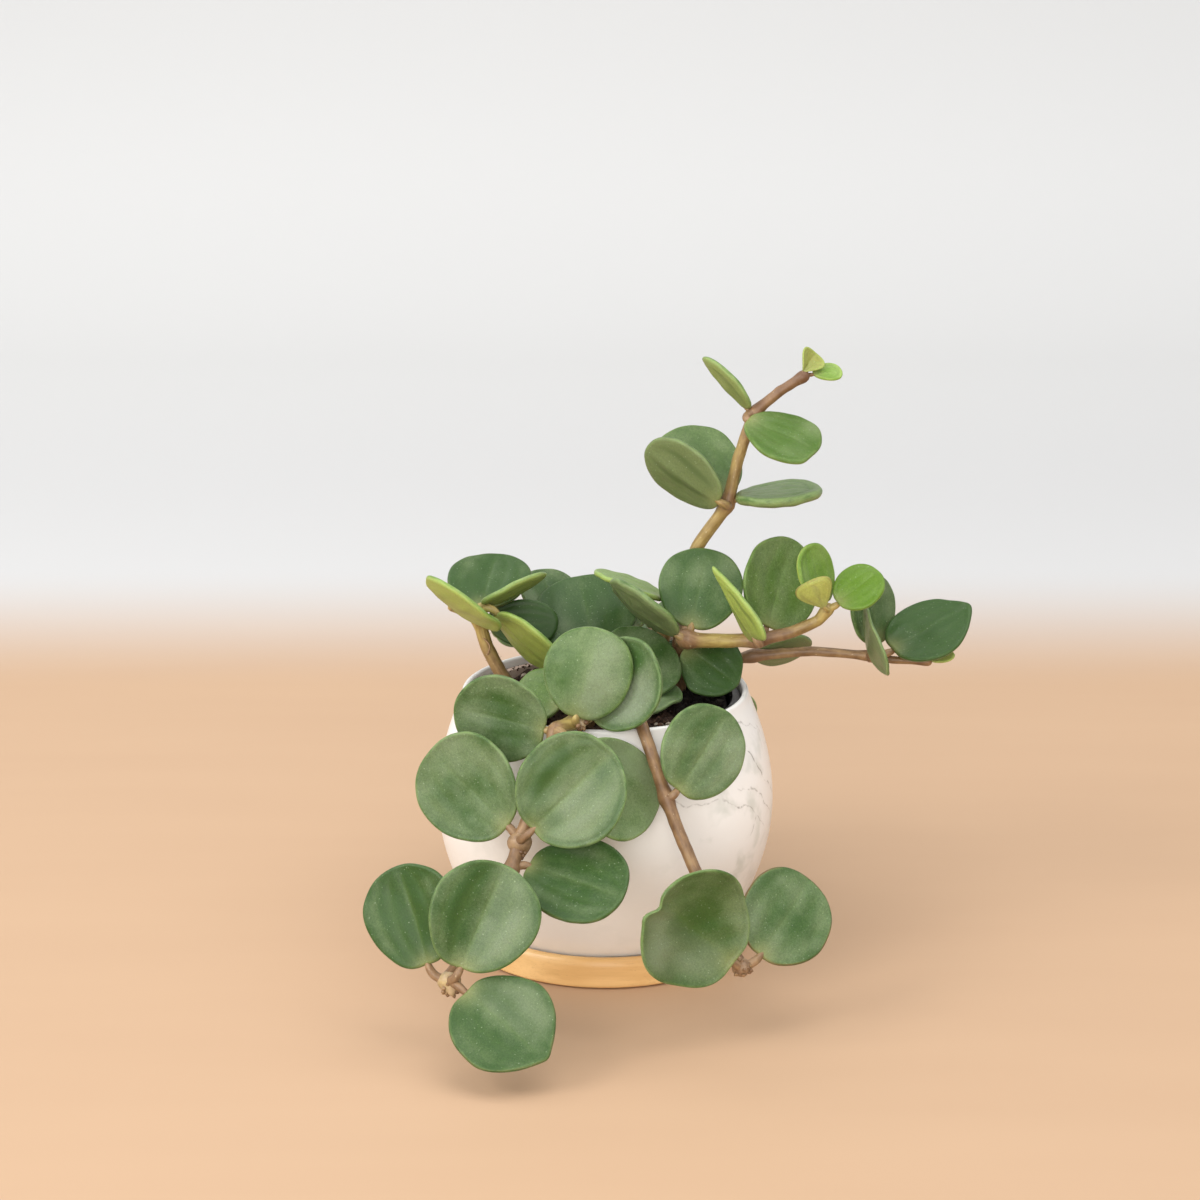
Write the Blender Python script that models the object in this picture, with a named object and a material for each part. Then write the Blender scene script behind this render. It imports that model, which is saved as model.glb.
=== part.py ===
"""Trailing jade peperomia in a marbled barrel pot on a turned wooden saucer.

Every dimension is in millimetres until a mesh is made, where MM turns it into metres.
The origin is the middle of the saucer's underside, Z is up, and the pot's front faces -Y.
A leafy shoot is one body: a tapered stem, its stalks and its thick round leaves, joined.
"""
from collections import namedtuple
from math import cos, pi, radians, sin

import bpy
from mathutils import Vector

MM = 0.001
GAP = 0.35                    # clearance between two pieces that rest on or in each other

SAUCER_RADIUS = 31.4
SAUCER_HEIGHT = 6.9
SAUCER_LIP = 2.4              # width of the flat-topped lip
SAUCER_RECESS_FLOOR = 3.2
SAUCER_EDGE_ROUND = 1.5
SAUCER_INNER_ROUND = 0.6
SAUCER_FOOT_ROUND = 1.2

POT_RIM_TOP = 59.3
POT_RIM_THICKNESS = 1.4
POT_RIM_ROUND = 0.25
POT_NECK = 1.8                # how far the rim's inner side runs straight down
POT_WALL = 2.8
POT_FLOOR = 3.4
POT_FLOOR_RADIUS = 24.6
POT_FOOT_RADIUS = 26.9
POT_FOOT_RING = 3.3           # width of the ring that the pot stands on
POT_FOOT_HOLLOW = 0.6
POT_BELLY = ((58.4, 31.8), (52, 34.2), (46, 36.0), (40, 37.1), (34, 37.5), (28, 37.1), (22, 35.8),
             (16, 33.7), (11, 31.2), (6.7, 28.5))      # heights and outer radii, from the rim down
DRAIN_RADIUS = 4.0

LINER_TOP = 57.6
LINER_LIP_RADIUS = 29.9
LINER_LIP_WIDTH = 1.7
LINER_LIP_THICKNESS = 1.0
LINER_EDGE_ROUND = 0.4
LINER_WALL = 0.9
LINER_FOOT_RADIUS = 22.0

SOIL_TOP = 56.2
SOIL_UNEVENNESS = 0.7
SOIL_SLOPE = 1 / 60           # how fast the soil rises towards the back left
SOIL_WALL_GAP = 0.6
SOIL_SIDES = 24
SOIL_RINGS = 4
STEM_HOLE_BOTTOM = 45.5
STEM_HOLE_TOP = 62.0
STEM_HOLE_CLEARANCE = 0.6
STEM_HOLE_SIDES = 8

TURN_SIDES = 36               # facets round the pot, its liner and its saucer
STEM_SIDES = 6
STEM_STEPS = 2                # rings in each span of a stem's path
NODE_SWELLING = 1.25
STEM_TIP_LENGTH = 0.8         # a stem's blunt tip, as shares of its last radius
STEM_TIP_TAPER = 0.55
STALK_SIDES = 5
STALK_RADIUS = 0.75
STALK_TAPER = (1.15, 1, 0.55)
STALK_BEND = 0.45             # how far before the blade a stalk turns into its plane
STALK_REACH = 0.72            # how far out of the blade's middle a stalk ends inside it
FULL_STALK_LEAF = 14          # leaves shorter than this have thinner stalks
BLADE_SIDES = ((22, 16), (15, 14), (11, 12), (0, 10))      # from this length up, this many sides
INNER_RING = (0.5, 0.72)      # share of the outline, half thickness
OUTER_RING = (0.87, 0.55)
BLADE_HALF_THICKNESS = 0.75
BLADE_TAPER = 0.08            # how much narrower the stalk's half of a blade is

LEAF_GREEN = (0.105, 0.205, 0.085, 1)
WOOD_TAN = (0.72, 0.43, 0.17, 1)
GLAZE_WHITE = (0.86, 0.84, 0.81, 1)
PLASTIC_BLACK = (0.012, 0.012, 0.013, 1)
SOIL_BROWN = (0.045, 0.028, 0.018, 1)

# A leaf: where its blade starts from the stem's node, the compass heading and the rise of its
# midrib, its roll about the midrib, its size, how deep its face is dished (negative is domed),
# how far its sides wave up and down, and how far its tip is drawn out, as shares of its size.
Leaf = namedtuple("Leaf", "stalk heading rise roll length width cup wave point")
Leaf.__new__.__defaults__ = (0.06, 0.0, 0.0)

# A shoot: the points that its stem passes through from its root up, its thickness at both
# ends, and its leaves, listed by the number of the stem point that bears them.
Shoot = namedtuple("Shoot", "name path thick_root thick_tip leaves")

SHOOTS = (
    Shoot("upright_shoot",
          ((10, 8, 46), (11, 8.5, 58), (14, 9, 73), (20.5, 8, 89.5), (26.8, 7, 99.2),
           (29.3, 7, 110), (32.6, 7, 119.8), (38, 7, 124.6), (43.2, 7, 128)), 3.4, 2.1,
          {4: (Leaf((1, 4.8, 1.3), 140, 36, -19, 21, 19.5),
               Leaf((-1.2, -3.8, 1.5), 158, 32, 65, 20.5, 16),
               Leaf((1.4, 0, 1.4), 0, 5, -1, 19.7, 18)),
           6: (Leaf((-0.6, 0.5, 0.8), 163, 47, 25, 15.5, 11),
               Leaf((-1.8, -2.9, -0.7), -29, -18, 19, 17.7, 16, 0.04, 0, 0.03)),
           8: (Leaf((0, -0.7, 1.2), 47, 41, 64, 5.7, 5.4, 0.2),
               Leaf((2, 0.7, 0.4), 17, 4, 32, 6.9, 5.2, 0.1))}),
    Shoot("left_shoot",
          ((-19, 1, 46), (-20.5, 0.5, 58), (-23.5, 0, 63), (-26.4, 0, 69), (-28.1, 0, 75.5)), 3.1, 2.9,
          {4: (Leaf((0.4, 5, 0.8), 80, 24, 3, 19.6, 18.8, 0.04),
               Leaf((-6, -0.6, 2.6), -71, 16, -40, 19, 19, 0.03),
               Leaf((0.5, -2.6, 3.3), 20, 19, -31, 16.6, 12, 0.03),
               Leaf((4, -4, 2.7), -2, -44, -33, 20, 17, 0.03),
               Leaf((1.6, 9, -3.5), 5, -5, 65, 16, 11, 0.03))}),
    Shoot("front_left_trailer",
          ((-3, -14, 46), (-3.5, -17, 57.5), (-4.5, -23, 61), (-6, -30.5, 61.3), (-10.5, -35, 60.3),
           (-11.8, -39.5, 54), (-16, -44.8, 44.8), (-18, -46.5, 40), (-19.8, -50.6, 34.8),
           (-26, -59.5, 25.5), (-32, -67.5, 17.4)), 3.0, 2.8,
          {2: (Leaf((-4.8, 1, 0.7), 133, 6, -47, 14.4, 13.6),),
           3: (Leaf((-0.4, -2.9, 0.9), 46, 68, 33, 20.3, 18.9, -0.1),
               Leaf((2.4, 0.1, 0.2), -7, 48, 57, 20.7, 19.6, 0.16)),
           4: (Leaf((-1.6, 0, 0), 168, 11, -89, 20.7, 19, 0.05),
               Leaf((5.6, -7, -1.9), 6, -50, 49, 22.3, 21.5)),
           7: (Leaf((-2.3, 1, 2.6), 151, 35, -76, 23.7, 22.8, 0.1),
               Leaf((2.2, -4.4, 3.4), 6, 45, 67, 24.3, 23.6, 0.05)),
           8: (Leaf((3.3, 1, 1.2), -25, -9, 32, 22.8, 21, 0.05),),
           10: (Leaf((-4.4, 1, 2.3), 125, 59, -56, 22.1, 20.7, 0.06),
                Leaf((2.4, -3.9, 3.7), 40, 59, 49, 23.3, 22.5, 0.08),
                Leaf((3.1, -4.5, -0.1), -38, -24, 34, 22, 21.3, 0.05, 0, 0.04))}),
    Shoot("front_right_trailer",
          ((5, -20, 46), (5.5, -21, 57.5), (6.5, -25.5, 60.8), (7.3, -31, 61.2), (10, -36.5, 54.8),
           (12.7, -41, 47.5), (15.5, -45, 40.8), (18.4, -48.5, 34.7), (23.7, -54.5, 24.2),
           (28, -58.5, 16.6)), 2.8, 2.6,
          {5: (Leaf((2, -1, 1.3), 40, 47, 67, 20.7, 19, 0.06),),
           9: (Leaf((-1.6, -2.5, 1.8), 211, 45, -94, 26, 26.4, 0.14, 0.05),
               Leaf((3.9, 1.5, 1.6), 50, 35, 50, 21.2, 20.6, 0.03))}),
    Shoot("upper_runner",
          ((16.2, 8.5, 46), (16.2, 8.5, 57.5), (17.2, 5.5, 72), (17.7, -5.5, 71.9), (25, -5, 71.4),
           (33.3, -5, 71.6), (41, -5, 73.4), (46.5, -5, 76), (48.6, -5.2, 78.6)), 4.2, 2.2,
          {3: (Leaf((1, 0.8, 2.1), 67, 54, 14, 19.2, 18.8, 0.03),
               Leaf((-4.4, 9.5, 6.6), 155, 16, 13, 17.5, 15.7, 0.05),
               Leaf((-1.4, -1.2, 1.1), 166, 36, 34, 19.5, 17, 0.05),
               Leaf((0, 7.7, -4.2), -27, -28, 44, 14.4, 14.2, 0.03)),
           5: (Leaf((-0.1, -4.8, 1.2), 167, 59, 34, 16.4, 11, 0.03, 0, 0.16),
               Leaf((2.3, 4.5, 1.0), 62, 54, 54, 21.3, 19.6, 0.08)),
           8: (Leaf((-0.5, 0.7, 0.8), 157, 72, -17, 14, 11.9, 0.12),
               Leaf((-0.8, -2.9, 1.2), -157, 58, 61, 7.9, 7.5, 0.1),
               Leaf((1.9, -0.8, 1.3), 14, 35, 35, 11.9, 11.3, 0.06))}),
    Shoot("lower_runner",
          ((21, 9, 46), (22, 9, 57.5), (25.5, 9, 62), (33.4, 9, 63.8), (46.4, 8, 65.2),
           (59, 7, 64.4), (64, 6, 63.8), (72, 5, 63.6)), 3.1, 1.5,
          {3: (Leaf((0.3, 3.4, -0.9), 15, 5, -46, 13.5, 13, 0.03),),
           5: (Leaf((1.6, 3, 1.6), 110, 80, 21, 15.9, 14.3, 0.05),
               Leaf((0.4, -1.6, 0.6), -92, 43, -71, 15, 15.8, 0.03),
               Leaf((4.6, -2, 1.6), 19, 24, 23, 19.7, 17.8, 0.03, 0, 0.05)),
           7: (Leaf((0.6, 0, 0.3), 4, 14, 21, 5.6, 3.6, 0.05),)}),
    Shoot("middle_front_shoot",
          ((0, -8, 46), (0, -8.5, 57.5), (0, -9.5, 60.5)), 2.6, 2.2,
          {2: (Leaf((1.3, -2, 1.7), 50, 22, 35, 20, 18.8, 0.05),
               Leaf((3.5, -0.6, -0.4), 24, 0, 20, 14, 13.5, 0.05),
               Leaf((-5, 2, 0), 155, 0, -18, 13.5, 12.5, 0.05))}),
    Shoot("middle_back_shoot",
          ((-2, 6, 46), (-2, 6, 57.5), (-2.2, 5, 62.5), (-4, 11, 64), (-6.5, 16, 66.5)), 2.6, 2.0,
          {2: (Leaf((0.3, 1, 2.3), 104, 37, -11, 23.1, 23.2, 0.04),),
           4: (Leaf((-2, 2.5, 2), 125, 40, 0, 16, 15.5),
               Leaf((3, 3.5, 1), 62, 18, 8, 16.5, 16),
               Leaf((-3, -0.5, -0.5), 176, 6, -8, 15.5, 14.5))}),
    Shoot("back_shoot",
          ((6, 15, 46), (6.5, 16, 57.5), (7.5, 19, 61), (8.5, 22, 64)), 2.4, 1.8,
          {2: (Leaf((3, -1, 0.5), -10, 8, 10, 14, 13),),
           3: (Leaf((1.8, 1, 1.7), 28, 24, 6, 15, 14.2),
               Leaf((-2, 2.4, 1.4), 121, 12, -4, 13, 12.2))}),
    Shoot("back_left_trailer",
          ((-9, 15, 46), (-9.5, 18, 57.5), (-10.5, 24, 61.2), (-11.5, 28.5, 61.9), (-13, 35, 55.5),
           (-14, 39, 44), (-13, 41.5, 34), (-10.5, 43, 25)), 2.6, 1.8,
          {3: (Leaf((2.4, 2, 0.6), 52, 4, 12, 13.5, 13),
               Leaf((-2.8, 1.2, 0.8), 137, 4, -12, 14, 13.4)),
           5: (Leaf((-2.6, 1.6, 0.4), 160, -28, -60, 18, 17.4),
               Leaf((2.6, 2.4, 1), 40, -14, -50, 18.5, 17.8)),
           7: (Leaf((-2.2, 1.4, -1.4), 196, -42, -60, 18.5, 17.6),
               Leaf((2.8, 0.8, -0.4), 8, -24, -64, 18.5, 17.8))}),
    Shoot("back_right_trailer",
          ((14, 18, 46), (15, 20.5, 57.5), (16, 25, 60.5), (17, 29.5, 60.6), (18.5, 35, 54.5),
           (19, 39, 44.5), (18, 41.5, 35)), 2.5, 1.7,
          {3: (Leaf((-1.4, 3, 0.8), 104, 6, -8, 15, 14.4),),
           5: (Leaf((2.8, 0.6, 0.4), 16, -28, -52, 15.5, 14.8),
               Leaf((-2.2, 3, 0.8), 128, -12, 48, 17.5, 16.8)),
           6: (Leaf((2.4, 0.8, -1.6), 12, -52, -52, 16.5, 15.8),
               Leaf((-2.4, 2.2, -1), 142, -34, 52, 17, 16.2))}),
)


def clear_scene():
    """Remove whatever the file holds, such as the cube that a new file starts with."""
    for thing in list(bpy.data.objects):
        bpy.data.objects.remove(thing, do_unlink=True)


def material(name, colour, roughness, metallic=0.0):
    """Give a Principled material of one colour."""
    made = bpy.data.materials.new(name)
    made.use_nodes = True
    shader = made.node_tree.nodes["Principled BSDF"]
    shader.inputs["Base Color"].default_value = colour
    shader.inputs["Roughness"].default_value = roughness
    shader.inputs["Metallic"].default_value = metallic
    made.diffuse_color = colour
    return made


def add_object(name, points, faces, finish, collection=None):
    """Make a smooth-shaded object of points in millimetres."""
    mesh = bpy.data.meshes.new(name)
    mesh.from_pydata([Vector(point) * MM for point in points], [], faces)
    mesh.materials.append(finish)
    mesh.shade_smooth()
    made = bpy.data.objects.new(name, mesh)
    (collection or bpy.context.scene.collection).objects.link(made)
    return made


def apply_boolean(target, operation, cutters):
    """Join or cut target with every object of the collection, which is then emptied."""
    step = target.modifiers.new(operation.title(), "BOOLEAN")
    step.operation = operation
    step.operand_type = "COLLECTION"
    step.collection = cutters
    step.solver = "EXACT"
    bpy.context.view_layer.update()
    with bpy.context.temp_override(object=target, active_object=target):
        bpy.ops.object.modifier_apply(modifier=step.name)
    for cutter in list(cutters.objects):
        bpy.data.objects.remove(cutter, do_unlink=True)
    bpy.data.collections.remove(cutters)


def new_collection(name):
    """Add an empty collection to the scene."""
    made = bpy.data.collections.new(name)
    bpy.context.scene.collection.children.link(made)
    return made


def turned(name, profile, finish, solid=False):
    """Turn a profile of (radius, height) points, which runs down its outer side first.

    The profile closes on itself; for a solid, its first and its last point get a flat face.
    """
    points = [(radius * cos(2 * pi * side / TURN_SIDES), radius * sin(2 * pi * side / TURN_SIDES), height)
              for side in range(TURN_SIDES) for radius, height in profile]
    count = len(profile)
    faces = []
    for side in range(TURN_SIDES):
        here, there = side * count, (side + 1) % TURN_SIDES * count
        for step in range(count - 1 if solid else count):
            after = (step + 1) % count
            faces.append((here + step, here + after, there + after, there + step))
    if solid:
        faces.append(tuple(side * count for side in range(TURN_SIDES)))
        faces.append(tuple(side * count + count - 1 for side in reversed(range(TURN_SIDES))))
    return add_object(name, points, faces, finish)


def smooth_through(knots, steps):
    """Points on a Catmull-Rom curve through the knots, with the given steps in each span."""
    knots = [Vector(knot) for knot in knots]
    ends = [2 * knots[0] - knots[1], *knots, 2 * knots[-1] - knots[-2]]
    curve = []
    for span in range(len(knots) - 1):
        before, start, end, after = ends[span:span + 4]
        for step in range(steps):
            t = step / steps
            curve.append(0.5 * (2 * start + (end - before) * t
                                + (2 * before - 5 * start + 4 * end - after) * t ** 2
                                + (3 * start - before - 3 * end + after) * t ** 3))
    return [*curve, knots[-1]]


def rounded_corner(radius, height, size, start_angle, steps=3):
    """A quarter circle of profile points about (radius, height), turning clockwise."""
    return [(radius + size * cos(radians(start_angle - 90 * step / steps)),
             height + size * sin(radians(start_angle - 90 * step / steps))) for step in range(steps + 1)]


def saucer():
    """A turned dish: a rounded lip round a recess that takes the pot's foot."""
    inner = SAUCER_RADIUS - SAUCER_LIP
    edge = SAUCER_EDGE_ROUND
    profile = [(inner - SAUCER_INNER_ROUND, SAUCER_RECESS_FLOOR),
               (inner, SAUCER_RECESS_FLOOR + SAUCER_INNER_ROUND),
               (inner, SAUCER_HEIGHT - SAUCER_INNER_ROUND), (inner + SAUCER_INNER_ROUND, SAUCER_HEIGHT),
               *rounded_corner(SAUCER_RADIUS - edge, SAUCER_HEIGHT - edge, edge, 90),
               (SAUCER_RADIUS - SAUCER_FOOT_ROUND / 3, SAUCER_FOOT_ROUND / 2),
               (SAUCER_RADIUS - SAUCER_FOOT_ROUND, 0)]
    return turned("saucer", profile, material("turned_wood", WOOD_TAN, 0.45), solid=True)


def marbled_pot():
    """A barrel of glazed ceramic with a thin rim, a hollow foot ring and a drain hole."""
    foot = SAUCER_RECESS_FLOOR + GAP
    floor = foot + POT_FLOOR
    outside = [(radius, height) for height, radius in POT_BELLY]
    inside = [(radius - POT_WALL, height) for radius, height in outside[-2::-3]]
    rim_outer = outside[0][0]
    rim_inner = rim_outer - POT_RIM_THICKNESS
    below_top = POT_RIM_TOP - POT_RIM_ROUND
    ring_inner = POT_FOOT_RADIUS - POT_FOOT_RING
    profile = [((rim_outer + rim_inner) / 2, POT_RIM_TOP), (rim_outer - POT_RIM_ROUND, below_top), *outside,
               (POT_FOOT_RADIUS + POT_RIM_ROUND, foot + POT_RIM_ROUND), (POT_FOOT_RADIUS, foot),
               (ring_inner, foot), (ring_inner - POT_FOOT_HOLLOW, foot + POT_FOOT_HOLLOW),
               (DRAIN_RADIUS, foot + POT_FOOT_HOLLOW), (DRAIN_RADIUS, floor), (POT_FLOOR_RADIUS, floor),
               *inside, (rim_inner, POT_RIM_TOP - POT_NECK), (rim_inner + POT_RIM_ROUND, below_top)]
    return turned("marbled_pot", profile, material("marbled_glaze", GLAZE_WHITE, 0.3))


def liner_floor():
    """The height of the liner's underside, which stands on the pot's floor."""
    return SAUCER_RECESS_FLOOR + GAP + POT_FLOOR + GAP


def liner_inner_radius(height):
    """The tapered inner radius of the liner at a height."""
    share = (height - liner_floor()) / (LINER_TOP - liner_floor())
    narrow = LINER_FOOT_RADIUS - LINER_WALL
    wide = LINER_LIP_RADIUS - LINER_LIP_WIDTH
    return narrow + share * (wide - narrow)


def nursery_pot():
    """The thin plastic pot that holds the soil, with a flat lip and a drain hole."""
    low = liner_floor()
    round_off = LINER_EDGE_ROUND
    mouth = liner_inner_radius(LINER_TOP)
    under_lip = LINER_TOP - LINER_LIP_THICKNESS
    profile = [(mouth + round_off, LINER_TOP), (LINER_LIP_RADIUS - round_off, LINER_TOP),
               (LINER_LIP_RADIUS, LINER_TOP - round_off), (LINER_LIP_RADIUS, under_lip),
               (mouth + LINER_WALL, under_lip), (LINER_FOOT_RADIUS, low + round_off),
               (LINER_FOOT_RADIUS - round_off, low), (DRAIN_RADIUS, low), (DRAIN_RADIUS, low + LINER_WALL),
               (liner_inner_radius(low + LINER_WALL), low + LINER_WALL), (mouth, LINER_TOP - round_off)]
    return turned("nursery_pot", profile, material("black_plastic", PLASTIC_BLACK, 0.4))


def soil_height(x, y):
    """An uneven surface: higher at the back left, with two crossed waves."""
    waves = sin(x * 0.42 + 1.3) * cos(y * 0.37 + 0.4) + 0.5 * sin((x + y) * 0.61)
    return SOIL_TOP + SOIL_SLOPE * (y - x) + SOIL_UNEVENNESS * waves


def potting_soil():
    """A tapered plug of soil with an uneven top and a plain blind hole for each stem."""
    low = liner_floor() + LINER_WALL + GAP
    directions = [Vector((cos(2 * pi * side / SOIL_SIDES), sin(2 * pi * side / SOIL_SIDES), 0))
                  for side in range(SOIL_SIDES)]
    wide = liner_inner_radius(SOIL_TOP - 1) - SOIL_WALL_GAP
    points = [Vector((0, 0, soil_height(0, 0)))]
    for ring in range(1, SOIL_RINGS + 1):
        for direction in directions:
            point = direction * wide * ring / SOIL_RINGS
            point.z = soil_height(point.x, point.y)
            points.append(point)
    base = liner_inner_radius(low) - SOIL_WALL_GAP
    points += [direction * base + Vector((0, 0, low)) for direction in directions]
    faces = [(0, 1 + side, 1 + (side + 1) % SOIL_SIDES) for side in range(SOIL_SIDES)]
    for ring in range(SOIL_RINGS):
        inner = 1 + ring * SOIL_SIDES
        outer = inner + SOIL_SIDES
        for side in range(SOIL_SIDES):
            after = (side + 1) % SOIL_SIDES
            faces.append((inner + side, outer + side, outer + after))
            faces.append((inner + side, outer + after, inner + after))
    last = 1 + SOIL_RINGS * SOIL_SIDES
    faces.append(tuple(last + side for side in reversed(range(SOIL_SIDES))))
    finish = material("peat_soil", SOIL_BROWN, 0.95)
    plug = add_object("potting_soil", points, faces, finish)
    holes = new_collection("stem_holes")
    for shoot in SHOOTS:
        add_stem_hole(shoot, holes, finish)
    apply_boolean(plug, "DIFFERENCE", holes)
    return plug


def add_stem_hole(shoot, holes, finish):
    """A round cutter along the straight foot of a stem, a little wider than the stem."""
    root, above = Vector(shoot.path[0]), Vector(shoot.path[1])
    lean = (above - root) / (above.z - root.z)
    ends = [root + lean * (height - root.z) for height in (STEM_HOLE_BOTTOM, STEM_HOLE_TOP)]
    radius = shoot.thick_root / 2 + STEM_HOLE_CLEARANCE
    points, faces = tube(ends, [radius, radius], STEM_HOLE_SIDES)
    cutter = add_object(shoot.name + "_hole", points, faces, finish, holes)
    cutter.hide_render = True
    cutter.display_type = "WIRE"


def tube(centres, radii, sides):
    """A closed tube through the centres; its rings turn as little as they can."""
    points, faces = [], []
    across = None
    for index, centre in enumerate(centres):
        ahead = centres[min(index + 1, len(centres) - 1)] - centres[max(index - 1, 0)]
        ahead.normalize()
        if across is None:
            across = ahead.orthogonal()
        across = (across - ahead * across.dot(ahead)).normalized()
        beside = ahead.cross(across)
        for side in range(sides):
            turn = 2 * pi * side / sides
            points.append(centre + (across * cos(turn) + beside * sin(turn)) * radii[index])
    for ring in range(len(centres) - 1):
        here, there = ring * sides, (ring + 1) * sides
        for side in range(sides):
            after = (side + 1) % sides
            faces.append((here + side, here + after, there + after, there + side))
    faces.append(tuple(reversed(range(sides))))
    faces.append(tuple((len(centres) - 1) * sides + side for side in range(sides)))
    return points, faces


def leaf_axes(leaf):
    """The midrib's direction, the direction to the blade's side and its face's direction."""
    heading, rise, roll = radians(leaf.heading), radians(leaf.rise), radians(leaf.roll)
    along = Vector((cos(rise) * cos(heading), cos(rise) * sin(heading), sin(rise)))
    level = Vector((-sin(rise) * cos(heading), -sin(rise) * sin(heading), cos(rise)))
    face = level * cos(roll) + along.cross(level) * sin(roll)
    return along, face.cross(along), face


def blade_point(leaf, base, ring, turn, height):
    """A point of a blade: ring is its share of the outline, turn runs from the stalk round."""
    along, side, face = leaf_axes(leaf)
    tip = max(0.0, -cos(turn)) ** 8
    x = leaf.length / 2 * (1 - ring * cos(turn)) + leaf.point * leaf.length * tip * ring
    y = leaf.width / 2 * ring * sin(turn) * (1 - BLADE_TAPER * cos(turn))
    dish = leaf.cup * leaf.width / 2 * (ring ** 2 - 1)
    wave = leaf.wave * leaf.width / 2 * ring ** 2 * (1 - cos(2 * turn)) * cos(3 * turn)
    return base + along * x + side * y + face * (dish + wave + height)


def blade(leaf, base):
    """A thick round blade, closed, with the same triangles on its face and its back.

    Each side is a fan round the middle, an inner ring with half the outline's corners, an
    outer ring and the rim, which both sides share.
    """
    sides = next(count for least, count in BLADE_SIDES if leaf.length >= least)
    half = sides // 2
    points = []
    for facing in (1, -1):
        points.append(blade_point(leaf, base, 0, 0, facing * BLADE_HALF_THICKNESS))
        for count, (ring, thick) in ((half, INNER_RING), (sides, OUTER_RING)):
            for corner in range(count):
                points.append(blade_point(leaf, base, ring, 2 * pi * corner / count, facing * thick))
    rim = len(points)
    for corner in range(sides):
        points.append(blade_point(leaf, base, 1, 2 * pi * corner / sides, 0))
    faces = []
    for back in (False, True):
        middle = (rim // 2) * back
        inner = middle + 1
        outer = inner + half
        triangles = []
        for corner in range(half):
            after = (corner + 1) % half
            first, second, third = 2 * corner, 2 * corner + 1, (2 * corner + 2) % sides
            triangles.append((middle, inner + after, inner + corner))
            triangles.append((inner + corner, outer + second, outer + first))
            triangles.append((inner + corner, inner + after, outer + second))
            triangles.append((inner + after, outer + third, outer + second))
        for corner in range(sides):
            after = (corner + 1) % sides
            triangles.append((outer + corner, outer + after, rim + after))
            triangles.append((outer + corner, rim + after, rim + corner))
        faces += [triangle[::-1] if back else triangle for triangle in triangles]
    return points, faces


def stalk(leaf, node):
    """The leaf's stalk, which bends from the stem into the blade's plane."""
    along = leaf_axes(leaf)[0]
    base = node + Vector(leaf.stalk)
    elbow = base - along * Vector(leaf.stalk).length * STALK_BEND
    inside = blade_point(leaf, base, STALK_REACH, 0, 0)
    centres = [node * (1 - t) ** 2 + elbow * 2 * t * (1 - t) + inside * t ** 2 for t in (0, 0.5, 1)]
    radius = STALK_RADIUS * min(1.0, leaf.length / FULL_STALK_LEAF)
    return tube(centres, [radius * width for width in STALK_TAPER], STALK_SIDES)


def stem(shoot):
    """The stem's tube: straight in the soil, smooth above it, tapered and swollen at nodes."""
    centres = smooth_through(shoot.path, STEM_STEPS)
    foot, above = Vector(shoot.path[0]), Vector(shoot.path[1])
    for step in range(1, STEM_STEPS):
        centres[step] = foot.lerp(above, step / STEM_STEPS)
    last = len(centres) - 1
    radii = []
    for index in range(last + 1):
        radius = (shoot.thick_root + (shoot.thick_tip - shoot.thick_root) * index / last) / 2
        bears_leaves = index % STEM_STEPS == 0 and index // STEM_STEPS in shoot.leaves
        radii.append(radius * (NODE_SWELLING if bears_leaves else 1))
    ahead = (centres[-1] - centres[-2]).normalized()
    centres.append(centres[-1] + ahead * radii[-1] * STEM_TIP_LENGTH)
    radii.append(radii[-1] * STEM_TIP_TAPER)
    return tube(centres, radii, STEM_SIDES)


def leafy_shoot(shoot, finish):
    """One body: the stem with every stalk and blade joined to it."""
    points, faces = stem(shoot)
    whole = add_object(shoot.name, points, faces, finish)
    pieces = new_collection(shoot.name + "_pieces")
    for number, leaves in shoot.leaves.items():
        node = Vector(shoot.path[number])
        for leaf in leaves:
            add_object("stalk", *stalk(leaf, node), finish, pieces)
            add_object("blade", *blade(leaf, node + Vector(leaf.stalk)), finish, pieces)
    apply_boolean(whole, "UNION", pieces)
    return whole


def build():
    clear_scene()
    saucer()
    marbled_pot()
    nursery_pot()
    potting_soil()
    green = material("jade_leaf", LEAF_GREEN, 0.42)
    for shoot in SHOOTS:
        leafy_shoot(shoot, green)


build()
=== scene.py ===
"""Looks of the potted trailing jade peperomia: leaves, stems, soil, liner, marbled pot and saucer.

The plant and its pot are in millimetres until a mesh is made, where MM turns them into metres. The
camera, the lamps and the stage are in metres. The origin is the middle of the saucer's underside,
Z is up and the front faces -Y.
"""
from collections import namedtuple
from math import radians

import bpy
import numpy as np
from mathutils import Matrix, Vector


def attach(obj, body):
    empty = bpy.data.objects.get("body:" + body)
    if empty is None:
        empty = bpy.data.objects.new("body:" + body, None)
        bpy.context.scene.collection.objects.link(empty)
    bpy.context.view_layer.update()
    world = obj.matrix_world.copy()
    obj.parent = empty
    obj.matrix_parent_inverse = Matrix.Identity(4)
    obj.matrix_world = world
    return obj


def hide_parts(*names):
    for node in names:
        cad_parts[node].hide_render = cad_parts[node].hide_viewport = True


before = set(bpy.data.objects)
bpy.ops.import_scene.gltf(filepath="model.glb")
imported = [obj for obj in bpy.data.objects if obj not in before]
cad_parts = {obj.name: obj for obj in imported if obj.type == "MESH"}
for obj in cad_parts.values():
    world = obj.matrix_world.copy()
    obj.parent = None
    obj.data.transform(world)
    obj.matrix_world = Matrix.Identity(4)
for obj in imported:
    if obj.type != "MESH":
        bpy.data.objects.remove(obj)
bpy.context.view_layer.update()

MM = 0.001
PI = np.pi

# The camera, at the photograph's place.
LENS = 88.5
SENSOR = 36
CAMERA_PLACE = (-0.0012, -0.627, 0.252)
CAMERA_DIP = 15.4             # degrees below level

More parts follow.
